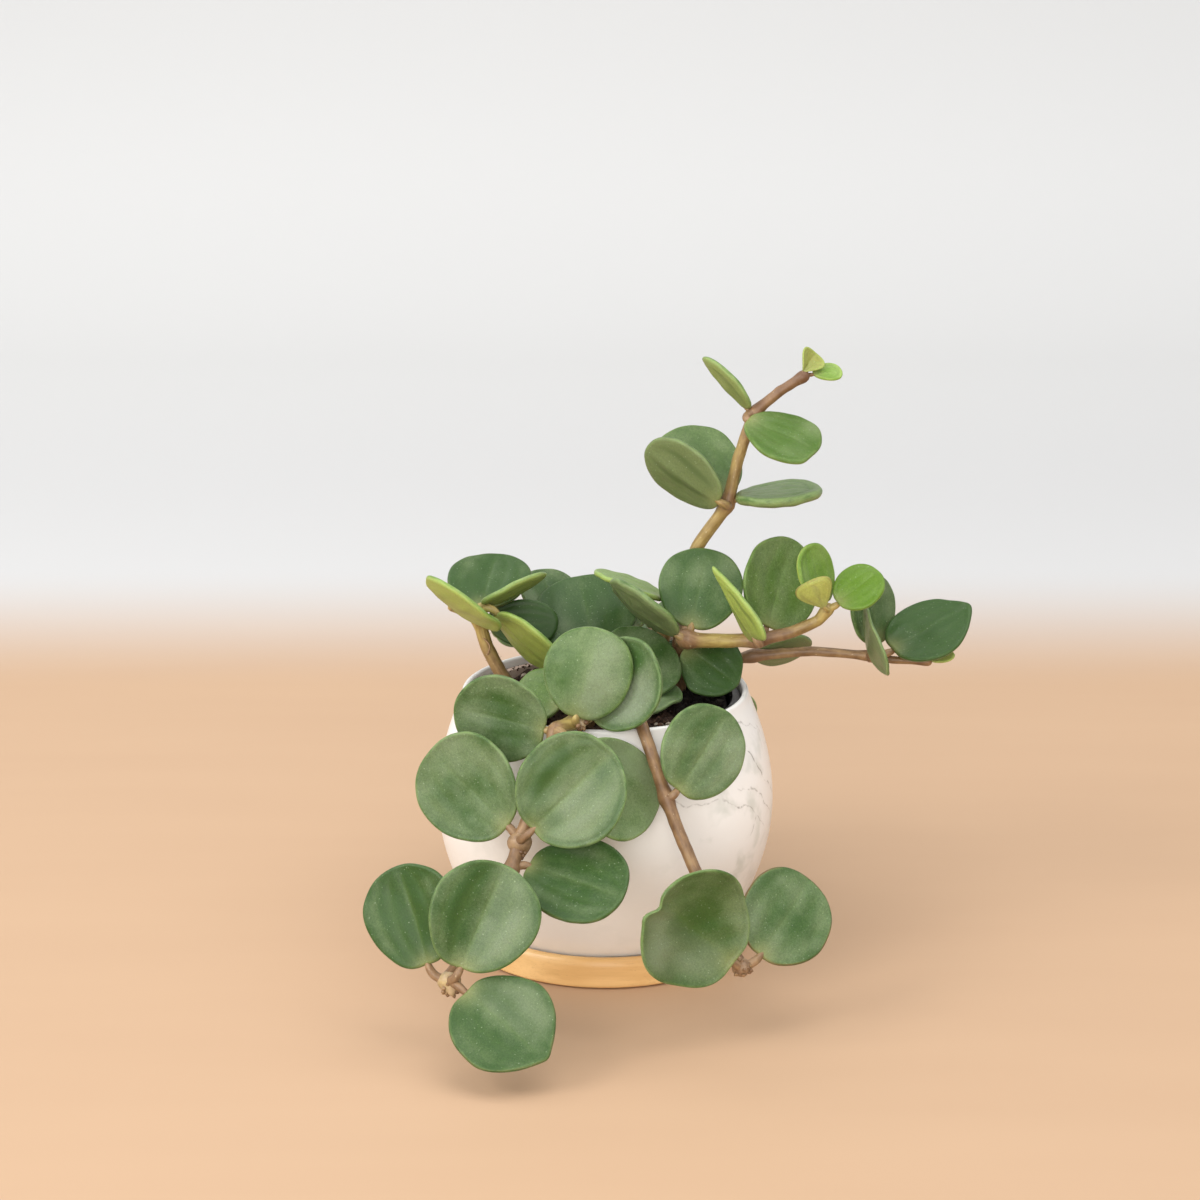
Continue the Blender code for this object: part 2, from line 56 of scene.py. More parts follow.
# The lamps: each one's place, the point that it aims at, its width, its power and its colour. They
# are a window to the upper left, a dim one behind, a wide ceiling and a low warm fill in front.
FILL_PLACE = (-0.15, -1.1, 0.28)
LAMPS = {
    "window": ((-0.85, -0.5, 0.75), (0, 0, 0.05), 0.6, 7.5, (1.0, 0.985, 0.96)),
    "back_window": ((-0.5, 0.55, 0.9), (0, 0, 0.05), 0.7, 2, (1.0, 0.985, 0.96)),
    "ceiling": ((0.35, -0.15, 1.3), (0.1, 0, 0.05), 1.1, 8.5, (1.0, 0.99, 0.98)),
    "front_fill": (FILL_PLACE, (0, 0, 0.05), 0.8, 9, (1.0, 0.95, 0.89)),
}
ROOM_COLOUR = (0.97, 0.98, 1.0)
ROOM_STRENGTH = 0.93

# The floor and backdrop.
FLOOR_FRONT = -3.0
FLOOR_BACK = 0.7
SWEEP = 0.5                   # radius of the bend between them
BACKDROP_TOP = 2.6
STAGE_HALF_WIDTH = 2.2
# The floor round the front lamp's foot is painted darker, as painted shade.
DARK_REACH = 1.1              # how far round the front lamp's foot the floor is darker
DARK_FRONT = -1.21            # where that ends towards the front

# The saucer.
SAUCER_RADIUS = 31.4
SAUCER_HEIGHT = 6.9
SAUCER_LIP = 2.4
SAUCER_RECESS_FLOOR = 3.2
SAUCER_TOP_BEVEL = (0.7, 1.3)           # inwards and downwards
SAUCER_FOOT_BEVEL = (1.1, 0.5)
SAUCER_ROUND = 0.9

# The ceramic pot: its belly as heights and outer radii, from the rim down.
POT_RIM_TOP = 59.3
POT_RIM_THICKNESS = 1.4
POT_NECK = 1.8
POT_WALL = 2.8
POT_BELLY = ((58.4, 31.8), (52, 34.2), (46, 36.0), (40, 37.1), (34, 37.5), (28, 37.1), (22, 35.8),
             (16, 33.7), (11, 31.2), (6.7, 28.5))
POT_INNER_POINTS = [8, 6, 4, 2, 1]      # which points of the belly the inside follows
POT_FOOT = 3.55
POT_FOOT_RADIUS = 26.9
POT_FOOT_BEVEL = (0.6, 1.2)
POT_FOOT_RING = 3.3
POT_FOOT_HOLLOW = 0.6
POT_FLOOR = 6.95
POT_FLOOR_INSET = 2.3
POT_SWAY = 0.06               # how far the turned shape strays from a true circle
DRAIN_RADIUS = 4.0
TURN_SIDES = 224
SMALL_ROUND = 0.3
STAIN_RADIUS = 30.6           # the soil's stains lie inside it
STAIN_BOTTOM = 57

# The plastic liner.
LINER_TOP = 57.6
LINER_LIP_RADIUS = 29.9
LINER_LIP_WIDTH = 1.7
LINER_LIP_THICKNESS = 1.0
LINER_WALL = 0.9
LINER_FLOOR = 7.3
LINER_FOOT_RADIUS = 22.0
LINER_SWAY = 0.05
LINER_SIDES = 160

# The soil.
SOIL_TOP = 56.2
SOIL_SLOPE = 1 / 60
SOIL_UNEVENNESS = 0.7
SOIL_RADIUS = 27.0
SOIL_BASE = 8.6
SOIL_BASE_RADIUS = 20.6
SOIL_SIDES = 200
SOIL_RINGS = 84
SOIL_SIDE_RINGS = 8
SOIL_RIPPLES = ((0.45, 4.5), (0.3, 1.9))          # height and pitch
SOIL_GRIT = 0.22
SOIL_CALM_EDGE = 1.5          # width of the margin that is less rough
CRUMBS = 1300
CRUMB_SIZE = (0.28, 0.75)     # the least radius, and how much more the largest has
CRUMB_STRETCH = (0.55, 1.25)
RIM_SPECKS = 150
RIM_SPECK_SIZE = (0.12, 0.3)
RIM_SPECK_HEADING = 118       # in degrees, from X towards Y
RIM_SPECK_SPREAD = 0.9        # in radians
LUMP_RINGS = 5                # of a crumb or a speck
LUMP_SIDES = 6

# Stems, stalks and buds.
STEM_SIDES = 20
STEM_STEPS = 14               # rings in each span of a stem's path
STEM_STRAIGHTNESS = 0.65      # 0 is a smooth curve through a stem's points, 1 is straight runs
BARK_RIPPLE = 0.035
BARK_PITCH = 2.6
NODE_SWELLING = 0.35
NODE_SPREAD = 1.8
NODE_REDNESS = 0.35
STALK_SIDES = 14
STALK_STEPS = 17
STALK_RADIUS = 0.85
STALK_BEND = 0.45
STALK_REACH = 0.06            # how far a stalk runs into its blade, as a share of the blade's length
FULL_STALK_LEAF = 14
EGG_RINGS = 10
EGG_SIDES = 11
HAIRS = 120
HAIR_RADIUS = 0.035

# Blades. Depths and widths are in millimetres, or shares of the way from midrib to margin.
BLADE_TURNS = 104
BLADE_RINGS = 22
EDGE_RINGS = 9
RING_CROWDING = 1.5
BLADE_HALF_THICKNESS = 0.86
EDGE_RADIUS = 0.6
OUTLINE_WAVES = ((2, 0.014), (3, 0.013), (5, 0.007), (9, 0.003))     # waves round it, and their height
STALK_DENT = (0.05, 0.13)     # depth and width
BLADE_RIPPLES = ((0.2, 11), (0.07, 4.5))          # height and pitch
SADDLE = 0.5
SIDE_VEINS = (0.38, 0.72)
VEIN_DEPTH = 0.2
KEEL_DEPTH = 0.16
LIP_DEPTH = 0.32
RIM_LINE = 0.35               # width of the pale line along a blade's margin
HEART_RADIUS = 2.8            # of the pale spot where the stalk meets the blade

# A leaf: where its blade starts from the stem's node, the compass heading and the rise of its
# midrib, its roll about the midrib, its size, how deep its face is dished, how far its sides wave,
# how far its tip is drawn out, how sharply it folds along the midrib, how much wider it is at its
# tip than at its stalk, its thickness, the notches in its margin (degrees round from the stalk,
# depth, width; a corner where the depth is negative), how young it is, how red its margin is, how
# bare of bloom and how dark its face is (its deeper green, and painted shade on leaves that lie in
# shade), how far its rolled margin stands out, and how much lighter one half is than the other:
# painted light and shade, with more bloom and a painted sheen on the half that faces the light.
Leaf = namedtuple("Leaf", "stalk heading rise roll length width cup wave point fold taper thick notches "
                          "youth blush bare lip half",
                  defaults=(0.06, 0.0, 0.0, 0.04, 0.08, 1.0, (), 0.0, 0.0, 0.4, 0.12, 0.0))

# A shoot: the points that its stem passes through, its thickness at both ends, how young its bark
# is in even steps along it, and its leaves, listed by the number of the stem point that bears them.
Shoot = namedtuple("Shoot", "name path thick_root thick_tip bark leaves")

SHOOTS = (
    Shoot("upright_shoot",
        ((10, 8, 46), (11, 8.5, 58), (14, 9, 73), (20.5, 8, 89.5), (26.8, 7, 99.2), (29.3, 7, 110),
         (32.6, 7, 119.8), (38, 7, 124.6), (43.2, 7, 128)),
        3.4, 2.1, (0.3, 0.3, 0.35, 0.4, 0.3, 0.35, 0, -0.3, -0.3),
        {4: (Leaf((1, 4.8, 1.3), 140, 36, -19, 21, 19.5, youth=0.2, bare=0.9, lip=0.1),
             Leaf((-1.2, -3.8, 1.5), 158, 32, 65, 20.5, 16, fold=0.12, taper=0.14, bare=0.7),
             Leaf((1.4, 0, 1.4), 0, 5, -1, 19.7, 18, 0.04, thick=1.9, youth=0.05, bare=-0.3, lip=0.5)),
         6: (Leaf((-0.6, 0.5, 0.8), 163, 47, 25, 15.5, 11, fold=0.35, taper=-0.15, youth=0.2, bare=0.2),
             Leaf((-1.8, -2.9, -0.7), -29, -18, 19, 17.7, 16, 0.04, 0, 0.02, taper=0.22,
                 notches=((213, -0.09, 15),), youth=0.35, bare=0.95, lip=0.05)),
         8: (Leaf((0, -0.7, 1.2), 47, 41, 64, 5.7, 5.4, 0.2, fold=0.5, taper=0.6, youth=1.3, blush=0.2,
                 bare=0.5, lip=0.2),
             Leaf((2, 0.7, 0.4), 17, 4, 32, 6.9, 5.2, 0.1, taper=0.3, youth=0.95, lip=0.3))}),
    Shoot("left_shoot",
        ((-19, 1, 46), (-20.5, 0.5, 58), (-23.5, 0, 63), (-26.4, 0, 69), (-28.1, 0, 75.5)),
        3.1, 2.9, (0.05, 0.1, 0.15, 0.35, 0.7),
        {4: (Leaf((0.4, 5, 0.8), 80, 24, 3, 19.6, 18.8, 0.04, blush=0.4, bare=1.2, lip=0.1),
             Leaf((-6, -0.6, 2.6), -71, 16, -40, 19, 19, 0.03, notches=((266, -0.07, 15),), youth=0.6,
                 lip=0.05),
             Leaf((0.5, -2.6, 3.3), 20, 19, -31, 16.6, 12, 0.03, youth=0.4),
             Leaf((4, -4, 2.7), -2, -44, -33, 20, 17, 0.03, youth=0.6),
             Leaf((1.6, 9, -3.5), 5, -5, 65, 16, 11, 0.03, bare=1.6))}),
    Shoot("front_left_trailer",
        ((-3, -14, 46), (-3.5, -17, 57.5), (-4.5, -23, 61), (-6, -30.5, 61.3), (-10.5, -35, 60.3),
         (-11.8, -39.5, 54), (-16, -44.8, 44.8), (-18, -46.5, 40), (-19.8, -50.6, 34.8), (-26, -59.5, 25.5),
         (-32, -67.5, 17.4)), 3, 2.8, (0, 0, 0.2, 0.8, 0.4, 0, 0, 0, 0, -0.1, 0),
        {2: (Leaf((-4.8, 1, 0.7), 133, 6, -47, 14.4, 13.6, youth=0.2),),
         3: (Leaf((-0.4, -2.9, 0.9), 46, 68, 33, 20.3, 18.9, -0.16, fold=0, youth=0.08, bare=0.5, lip=0.05,
                 half=-0.5),
             Leaf((2.4, 0.1, 0.2), -7, 48, 57, 20.7, 19.6, 0.2, fold=0, thick=1.2, bare=0.6, lip=0.35,
                 half=-1.2)),
         4: (Leaf((-1.6, 0, 0), 168, 11, -89, 20.7, 19, 0.1, blush=0.1, bare=0.6, lip=0.1),
             Leaf((5.6, -7, -1.9), 6, -50, 49, 22.3, 21.5, youth=0.12, bare=0.1)),
         7: (Leaf((-2.3, 1, 2.6), 151, 35, -76, 23.7, 22.8, 0.12, blush=0.25, lip=0.25),
             Leaf((2.2, -4.4, 3.4), 6, 45, 67, 24.3, 23.6, 0.07, fold=0.3, bare=0.5, lip=0.5, half=-0.5)),
         8: (Leaf((3.3, 1, 1.2), -25, -9, 32, 22.8, 21, 0.07, fold=0.12, blush=0.3, bare=1.15),),
         10: (Leaf((-4.4, 1, 2.3), 125, 59, -56, 22.1, 20.7, 0.1, fold=0.18, blush=0.3, bare=1.5),
             Leaf((2.4, -3.9, 3.7), 40, 59, 49, 23.3, 22.5, 0.05, fold=0.45, bare=0.7, lip=0.2, half=-0.7),
             Leaf((3.1, -4.5, -0.1), -38, -24, 34, 22, 21.3, 0.06, 0, 0.05, fold=0.08,
                 notches=((178, -0.05, 8),), blush=0.35, bare=0.95, lip=0.15, half=0.6))}),
    Shoot("front_right_trailer",
        ((5, -20, 46), (5.5, -21, 57.5), (6.5, -25.5, 60.8), (7.3, -31, 61.2), (10, -36.5, 54.8),
         (12.7, -41, 47.5), (15.5, -45, 40.8), (18.4, -48.5, 34.7), (23.7, -54.5, 24.2), (28, -58.5, 16.6)),
        2.8, 2.6, (0, 0.1),
        {5: (Leaf((2, -1, 1.3), 40, 47, 67, 20.7, 19, -0.04, fold=0.1, lip=0.02, half=-0.4),),
         9: (Leaf((-1.6, -2.5, 1.8), 211, 45, -94, 26, 26.4, 0.24, 0.05,
                 notches=((172, 0.15, 8), (160, -0.05, 6)), youth=0.05, blush=0.1, bare=0.6, lip=0.3,
                 half=0.7),
             Leaf((3.9, 1.5, 1.6), 50, 35, 50, 21.2, 20.6, 0.03, fold=0.05, blush=0.6, bare=0.65,
                 lip=0.05))}),
    Shoot("upper_runner",
        ((16.2, 8.5, 46), (16.2, 8.5, 57.5), (17.2, 5.5, 72), (17.7, -5.5, 71.9), (25, -5, 71.4),
         (33.3, -5, 71.6), (41, -5, 73.4), (46.5, -5, 76), (48.6, -5.2, 78.6)),
        4.2, 2.2, (0, 0, 0.1, 0.25, 0.65, -0.1, 0.3, 0.5, 0.8),
        {3: (Leaf((1, 0.8, 2.1), 67, 54, 14, 19.2, 18.8, -0.05, bare=0.75, lip=0.1),
             Leaf((-4.4, 9.5, 6.6), 155, 16, 13, 17.5, 15.7, 0.05, youth=0.65, bare=0),
             Leaf((-1.4, -1.2, 1.1), 166, 36, 34, 19.5, 17, 0.05, thick=1.3, notches=((196, 0.07, 9),)),
             Leaf((0, 7.7, -4.2), -27, -28, 44, 14.4, 14.2, 0.03,
                 notches=((0, -0.04, 20), (90, -0.07, 18), (180, -0.05, 14), (270, -0.07, 16)), bare=1.5,
                 lip=0)),
         5: (Leaf((-0.1, -4.8, 1.2), 167, 59, 34, 16.4, 11, 0.03, 0, 0.16, fold=0.2, taper=-0.35,
                 notches=((38, -0.2, 20), (322, -0.2, 20)), youth=0.6),
             Leaf((2.3, 4.5, 1), 62, 54, 54, 21.3, 19.6, 0.08, 0, 0.03, fold=0.1, youth=0.3, bare=0.55)),
         8: (Leaf((-0.5, 0.7, 0.8), 157, 72, -17, 14, 11.9, 0.12, youth=0.8, bare=0.8, lip=0.3),
             Leaf((-0.8, -2.9, 1.2), -157, 58, 61, 7.9, 7.5, 0.1, fold=0.2, taper=0.6, youth=1.3, blush=0.6,
                 bare=0.6, lip=0.2),
             Leaf((1.9, -0.8, 1.3), 14, 35, 35, 11.9, 11.3, youth=0.75, bare=1.4, lip=0.15))}),
    Shoot("lower_runner",
        ((21, 9, 46), (22, 9, 57.5), (25.5, 9, 62), (33.4, 9, 63.8), (46.4, 8, 65.2), (59, 7, 64.4),
         (64, 6, 63.8), (72, 5, 63.6)), 3.1, 1.5, (0.15, 0.1),
        {3: (Leaf((0.3, 3.4, -0.9), 15, 5, -46, 13.5, 13, 0.03),),
         5: (Leaf((1.6, 3, 1.6), 110, 80, 21, 15.9, 14.3, 0.05, bare=0.8),
             Leaf((0.4, -1.6, 0.6), -92, 43, -71, 15, 15.8, 0.03, fold=0.15, thick=0.6,
                 notches=((90, -0.14, 35),), bare=0.3),
             Leaf((4.6, -2, 1.6), 19, 24, 23, 19.7, 17.8, 0.03, 0, 0.09, fold=0.02, taper=-0.03, bare=1.7,
                 lip=0.2)),
         7: (Leaf((0.6, 0, 0.3), 4, 14, 21, 5.6, 3.6, 0.05, taper=0.3, youth=1.2, bare=0.5),)}),
    Shoot("middle_front_shoot",
        ((0, -8, 46), (0, -8.5, 57.5), (0, -9.5, 60.5)), 2.6, 2.2, (0, 0.1),
        {2: (Leaf((1.3, -2, 1.7), 50, 22, 35, 20, 18.8, 0.05, bare=0.6),
             Leaf((3.5, -0.6, -0.4), 24, 0, 20, 14, 13.5, 0.05, 0.12, bare=0.3),
             Leaf((-5, 2, 0), 155, 0, -18, 13.5, 12.5, 0.05))}),
    Shoot("middle_back_shoot",
        ((-2, 6, 46), (-2, 6, 57.5), (-2.2, 5, 62.5), (-4, 11, 64), (-6.5, 16, 66.5)), 2.6, 2, (0.1, 0.3),
        {2: (Leaf((0.3, 1, 2.3), 104, 37, -11, 23.1, 23.2, 0.04, bare=1.25),),
         4: (Leaf((-2, 2.5, 2), 125, 40, 0, 16, 15.5, bare=0.6),
             Leaf((3, 3.5, 1), 62, 18, 8, 16.5, 16),
             Leaf((-3, -0.5, -0.5), 176, 6, -8, 15.5, 14.5))}),
    Shoot("back_shoot",
        ((6, 15, 46), (6.5, 16, 57.5), (7.5, 19, 61), (8.5, 22, 64)), 2.4, 1.8, (0.1, 0.3),
        {2: (Leaf((3, -1, 0.5), -10, 8, 10, 14, 13),),
         3: (Leaf((1.8, 1, 1.7), 28, 24, 6, 15, 14.2, bare=0.6),
             Leaf((-2, 2.4, 1.4), 121, 12, -4, 13, 12.2, youth=0.3))}),
    Shoot("back_left_trailer",
        ((-9, 15, 46), (-9.5, 18, 57.5), (-10.5, 24, 61.2), (-11.5, 28.5, 61.9), (-13, 35, 55.5),
         (-14, 39, 44), (-13, 41.5, 34), (-10.5, 43, 25)), 2.6, 1.8, (0, 0.3),
        {3: (Leaf((2.4, 2, 0.6), 52, 4, 12, 13.5, 13),
             Leaf((-2.8, 1.2, 0.8), 137, 4, -12, 14, 13.4, bare=0.7)),
         5: (Leaf((-2.6, 1.6, 0.4), 160, -28, -60, 18, 17.4, blush=0.5),
             Leaf((2.6, 2.4, 1), 40, -14, -50, 18.5, 17.8, bare=0.1)),
         7: (Leaf((-2.2, 1.4, -1.4), 196, -42, -60, 18.5, 17.6, youth=0.2),
             Leaf((2.8, 0.8, -0.4), 8, -24, -64, 18.5, 17.8, blush=0.6))}),
    Shoot("back_right_trailer",
        ((14, 18, 46), (15, 20.5, 57.5), (16, 25, 60.5), (17, 29.5, 60.6), (18.5, 35, 54.5), (19, 39, 44.5),
         (18, 41.5, 35)), 2.5, 1.7, (0, 0.3),
        {3: (Leaf((-1.4, 3, 0.8), 104, 6, -8, 15, 14.4, bare=0.6),),
         5: (Leaf((2.8, 0.6, 0.4), 16, -28, -52, 15.5, 14.8),
             Leaf((-2.2, 3, 0.8), 128, -12, 48, 17.5, 16.8, bare=0.1)),
         6: (Leaf((2.4, 0.8, -1.6), 12, -52, -52, 16.5, 15.8, youth=0.2),
             Leaf((-2.4, 2.2, -1), 142, -34, 52, 17, 16.2, blush=0.5))}),
)

# Buds: the stem point, which way and how far they lean, how wide they are, how many scales they
# have and how large, how young their bark is (reddish below 0) and how much pale pink is in it.
BUDS = {
    "front_left_trailer": ((3, (0.8, -1.2, -0.3), 1.9, 9, 1.0, 0.6, 1.0),
                           (7, (0.2, -0.6, -1.6), 2.7, 6, 0.7, 0.0, 0.3),
                           (8, (0, -0.4, -0.6), 1.8, 4, 0.6, 0.1, 0.2),
                           (10, (0.3, -0.8, -1.0), 2.5, 24, 0.8, 0.5, 0.8)),
    "front_right_trailer": ((5, (0.5, -0.3, 0.4), 1.6, 4, 0.5, -0.2, 0),
                            (9, (0.3, -0.8, 0.1), 2.1, 12, 0.8, -0.2, 0.3)),
    "upper_runner": ((5, (0.2, -0.4, 0.5), 1.3, 4, 0.5, 0, 0.5),
                     (8, (0.2, -0.3, 0.3), 0.8, 6, 0.5, 0.3, 0)),
    "lower_runner": ((3, (0.3, 0, -0.4), 1.1, 3, 0.4, 0, 0),
                     (5, (0.4, -0.2, -0.6), 1.3, 8, 0.55, -0.1, 0)),
    "back_left_trailer": ((7, (0, 0.4, -0.8), 0.9, 8, 0.6, 0.2, 0),),
    "back_right_trailer": ((6, (0, 0.4, -0.8), 0.9, 8, 0.6, 0.2, 0),),
}
ROOTLET = ((-27.6, -1, 71.5), (-25.6, -2.2, 69.6), (-25.9, -2.6, 67.6))
ROOTLET_RADIUS = 0.2

MARKS = ("youth", "under", "rim", "vein", "heart", "blush", "bare", "dip", "groove", "band", "half")
BARK = 1                      # a shoot's second finish; its first is the blades'


class Skin:
    """Surfaces gathered into one mesh, as whole arrays.

    A surface is rings of points, each joined to the next and round itself. Its first and last ring
    either shrink to a pole each, or join each other. grain is each point's place in the surface's
    own millimetres, for its pattern, and the marks are numbers that its finish reads.
    """

    def __init__(self):
        self.points = []
        self.grain = []
        self.faces = []
        self.finishes = []
        self.marks = {name: [] for name in MARKS}
        self.count = 0

    def add(self, rings, grain=None, finish=0, looped=False, **marks):
        """Add a surface, with its faces turned outwards."""
        rows, sides = rings.shape[:2]
        inner = slice(None) if looped else slice(1, -1)

        def flat(values, width):
            values = np.broadcast_to(values, (rows, sides, width))
            poles = [] if looped else [values[:1, 0], values[-1:, 0]]
            return np.concatenate([values[inner].reshape(-1, width), *poles])

        points = flat(rings, 3)
        held = rows if looped else rows - 2
        corner = np.arange(held * sides).reshape(held, sides)
        after = np.roll(corner, -1, axis=1)
        if looped:
            ahead, ahead_after = np.roll(corner, -1, axis=0), np.roll(after, -1, axis=0)
            faces = [np.stack([corner, after, ahead_after, ahead], axis=-1).reshape(-1, 4)]
        else:
            first, last = np.full(sides, held * sides), np.full(sides, held * sides + 1)
            faces = [np.stack([corner[:-1], after[:-1], after[1:], corner[1:]], axis=-1).reshape(-1, 4),
                     np.stack([first, after[0], corner[0]], axis=-1),
                     np.stack([last, corner[-1], after[-1]], axis=-1)]
        three = np.concatenate([face[:, :3] for face in faces] + [faces[0][:, [0, 2, 3]]])
        a, b, c = (points[three[:, k]] - points.mean(axis=0) for k in range(3))
        if np.einsum("ij,ij->", a, np.cross(b, c)) < 0:
            faces = [face[:, ::-1] for face in faces]
        self.points.append(points)
        self.grain.append(flat(rings if grain is None else grain, 3))
        for name in MARKS:
            value = np.asarray(marks.get(name, 0.0), float)
            self.marks[name].append(flat(np.broadcast_to(value, (rows, sides))[..., None], 1)[:, 0])
        for face in faces:
            self.faces.append(face + self.count)
            self.finishes.append(np.full(len(face), finish))
        self.count += len(points)

    def make(self, name, finishes, slot, *nodes):
        """Make the piece, which stands for the given nodes and takes the given finishes. The slot is not
        used.
        """
        mesh = bpy.data.meshes.new(name)
        corners = np.concatenate([face.ravel() for face in self.faces])
        totals = np.concatenate([np.full(len(face), face.shape[1]) for face in self.faces])
        mesh.vertices.add(self.count)
        mesh.vertices.foreach_set("co", (np.concatenate(self.points) * MM).astype(np.float32).ravel())
        mesh.loops.add(len(corners))
        mesh.loops.foreach_set("vertex_index", corners.astype(np.int32))
        mesh.polygons.add(len(totals))
        mesh.polygons.foreach_set("loop_start", (np.cumsum(totals) - totals).astype(np.int32))
        mesh.polygons.foreach_set("material_index", np.concatenate(self.finishes).astype(np.int32))
        mesh.update(calc_edges=True)
        mesh.shade_smooth()
        grain = mesh.attributes.new("grain", "FLOAT_VECTOR", "POINT")
        grain.data.foreach_set("vector", np.concatenate(self.grain).astype(np.float32).ravel())
        for mark, values in self.marks.items():
            values = np.concatenate(values).astype(np.float32)
            if values.any():
                mesh.attributes.new(mark, "FLOAT", "POINT").data.foreach_set("value", values)
        for finish in finishes:
            mesh.materials.append(finish)
        piece = placed(name, mesh)
        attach(piece, "root")
        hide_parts(*nodes)
        return piece


def unit(vectors):
    """The vectors at length 1."""
    return vectors / np.linalg.norm(vectors, axis=-1, keepdims=True)


def bump(distance, width):
    """A bell curve: 1 at distance 0, falling to a third at the width."""
    return np.exp(-(distance / width) ** 2)


def ripple(points, pitch, seed, waves=9):
    """A smooth random field of about -1 to 1: a sum of sine waves of random direction and pitch."""
    draw = np.random.default_rng(seed)
    directions = unit(draw.normal(size=(waves, 3))) / (pitch * draw.uniform(0.7, 1.5, (waves, 1)))
    angles = points @ directions.T * 2 * PI + draw.uniform(0, 2 * PI, waves)
    return np.sin(angles).sum(axis=-1) / waves ** 0.5


def ripples(points, sizes, seed):
    """Several ripples, each with its own height and pitch."""
    return sum(height * ripple(points, pitch, seed + k) for k, (height, pitch) in enumerate(sizes))


def in_steps(values, share):
    """What values given in even steps come to at a share of the way."""
    return np.interp(share, np.linspace(0, 1, len(values)), values)


def parabola(start, corner, end, t):
    """Points on the parabola from start to end that leaves and arrives along the corner's lines."""
    return start * (1 - t) ** 2 + corner * 2 * t * (1 - t) + end * t ** 2


def curve_through(knots, steps):
    """Points on a Catmull-Rom curve through the knots: in each span, the cubic of its four knots."""
    knots = np.asarray(knots, float)
    ends = np.concatenate([[2 * knots[0] - knots[1]], knots, [2 * knots[-1] - knots[-2]]])
    before, start, end, after = (ends[k:len(ends) - 3 + k, None] for k in range(4))
    t = (np.arange(steps) / steps)[None, :, None]
    curve = 0.5 * (2 * start + (end - before) * t + (2 * before - 5 * start + 4 * end - after) * t ** 2
                   + (3 * start - before - 3 * end + after) * t ** 3)
    return np.concatenate([curve.reshape(-1, knots.shape[1]), knots[-1:]])


def softened(corners, size, steps=6, spacing=1.3):
    """A closed outline with its corners rounded and its straight runs divided at the spacing.

    Each corner becomes a parabola between the points at size before and after it.
    """
    corners = np.asarray(corners, float)
    back, ahead = np.roll(corners, 1, axis=0) - corners, np.roll(corners, -1, axis=0) - corners
    reach = np.minimum(size, 0.45 * np.minimum(np.linalg.norm(back, axis=1), np.linalg.norm(ahead, axis=1)))
    start, end = corners + unit(back) * reach[:, None], corners + unit(ahead) * reach[:, None]
    t = np.linspace(0, 1, steps)[None, :, None]
    arcs = parabola(start[:, None], corners[:, None], end[:, None], t)
    outline = []
    for arc, following in zip(arcs, np.roll(arcs, -1, axis=0)):
        outline.append(arc)
        gaps = int(np.linalg.norm(following[0] - arc[-1]) / spacing)
        outline.append(arc[-1] + (following[0] - arc[-1]) * (np.arange(1, gaps) / max(gaps, 1))[:, None])
    return np.concatenate(outline)


def turned(outline, sides, sway=0.0, seed=0):
    """Rings of an outline of (radius, height) points turned round the Z axis, swayed by ripples."""
    turn = np.arange(sides) / sides * 2 * PI
    radius, height = np.asarray(outline, float).T
    rings = np.stack([radius[:, None] * np.cos(turn), radius[:, None] * np.sin(turn),
                      np.broadcast_to(height[:, None], (len(radius), sides))], axis=-1)
    away = rings * [1, 1, 0] / np.maximum(radius, 1e-6)[:, None, None]
    return rings + away * (sway * ripple(rings, 26, seed))[..., None]


def tube(centres, radii, sides):
    """Rings round a path, square to it, and how far along the path each ring is.

    One side of each ring points along the flattest direction of the whole path, so that the
    rings don't twist.
    """
    ahead = unit(np.gradient(centres, axis=0))
    flattest = np.linalg.svd(centres - centres.mean(axis=0))[2][-1]
    across = unit(flattest - ahead * (ahead @ flattest)[:, None])
    beside = np.cross(ahead, across)
    turn = np.arange(sides) / sides * 2 * PI
    away = across[:, None] * np.cos(turn)[:, None] + beside[:, None] * np.sin(turn)[:, None]
    steps = np.linalg.norm(np.diff(centres, axis=0), axis=1)
    return centres[:, None] + away * radii[:, None, None], away, np.concatenate([[0], np.cumsum(steps)])


def add_tube(skin, centres, radii, sides, roughness=0.0, seed=0, **marks):
    """A tube of bark with closed ends and a rippled skin; its tip is rounded by a half circle."""
    bend = np.linspace(0, PI / 2, 5)[1:]
    ahead = unit(centres[-1] - centres[-2])
    tip = centres[-1] + ahead * radii[-1] * np.sin(bend)[:, None]
    centres = np.concatenate([centres[:1], centres, tip])
    centres[0] -= unit(centres[2] - centres[1]) * 0.01
    radii = np.concatenate([[0], radii, radii[-1] * np.cos(bend)])
    rings, away, along = tube(centres, radii, sides)
    rings = rings + away * (roughness * ripple(rings, BARK_PITCH, seed) * (radii > 0)[:, None])[..., None]
    round_about = away @ np.array([[1.0, 0.3], [0.2, 1.0], [0.4, 0.5]]) * radii[:, None, None]
    grain = np.concatenate([along[:, None, None] + 0 * away[..., :1], round_about], axis=-1)
    share = np.linspace(0, 1, len(radii))
    spread = {name: in_steps(value, share)[:, None] if np.ndim(value) else value
              for name, value in marks.items()}
    skin.add(rings, grain + seed * 7.3, BARK, **spread)


def add_egg(skin, centre, direction, length, radius, **marks):
    """An egg of bark: its radius is a half sine along its axis, fuller near its foot."""
    t = np.linspace(0, 1, EGG_RINGS)
    centres = np.asarray(centre) + unit(np.asarray(direction, float)) * length * t[:, None]
    rings = tube(centres, radius * np.sin(PI * t ** 0.8), EGG_SIDES)[0]
    skin.add(rings, None, BARK, **marks)


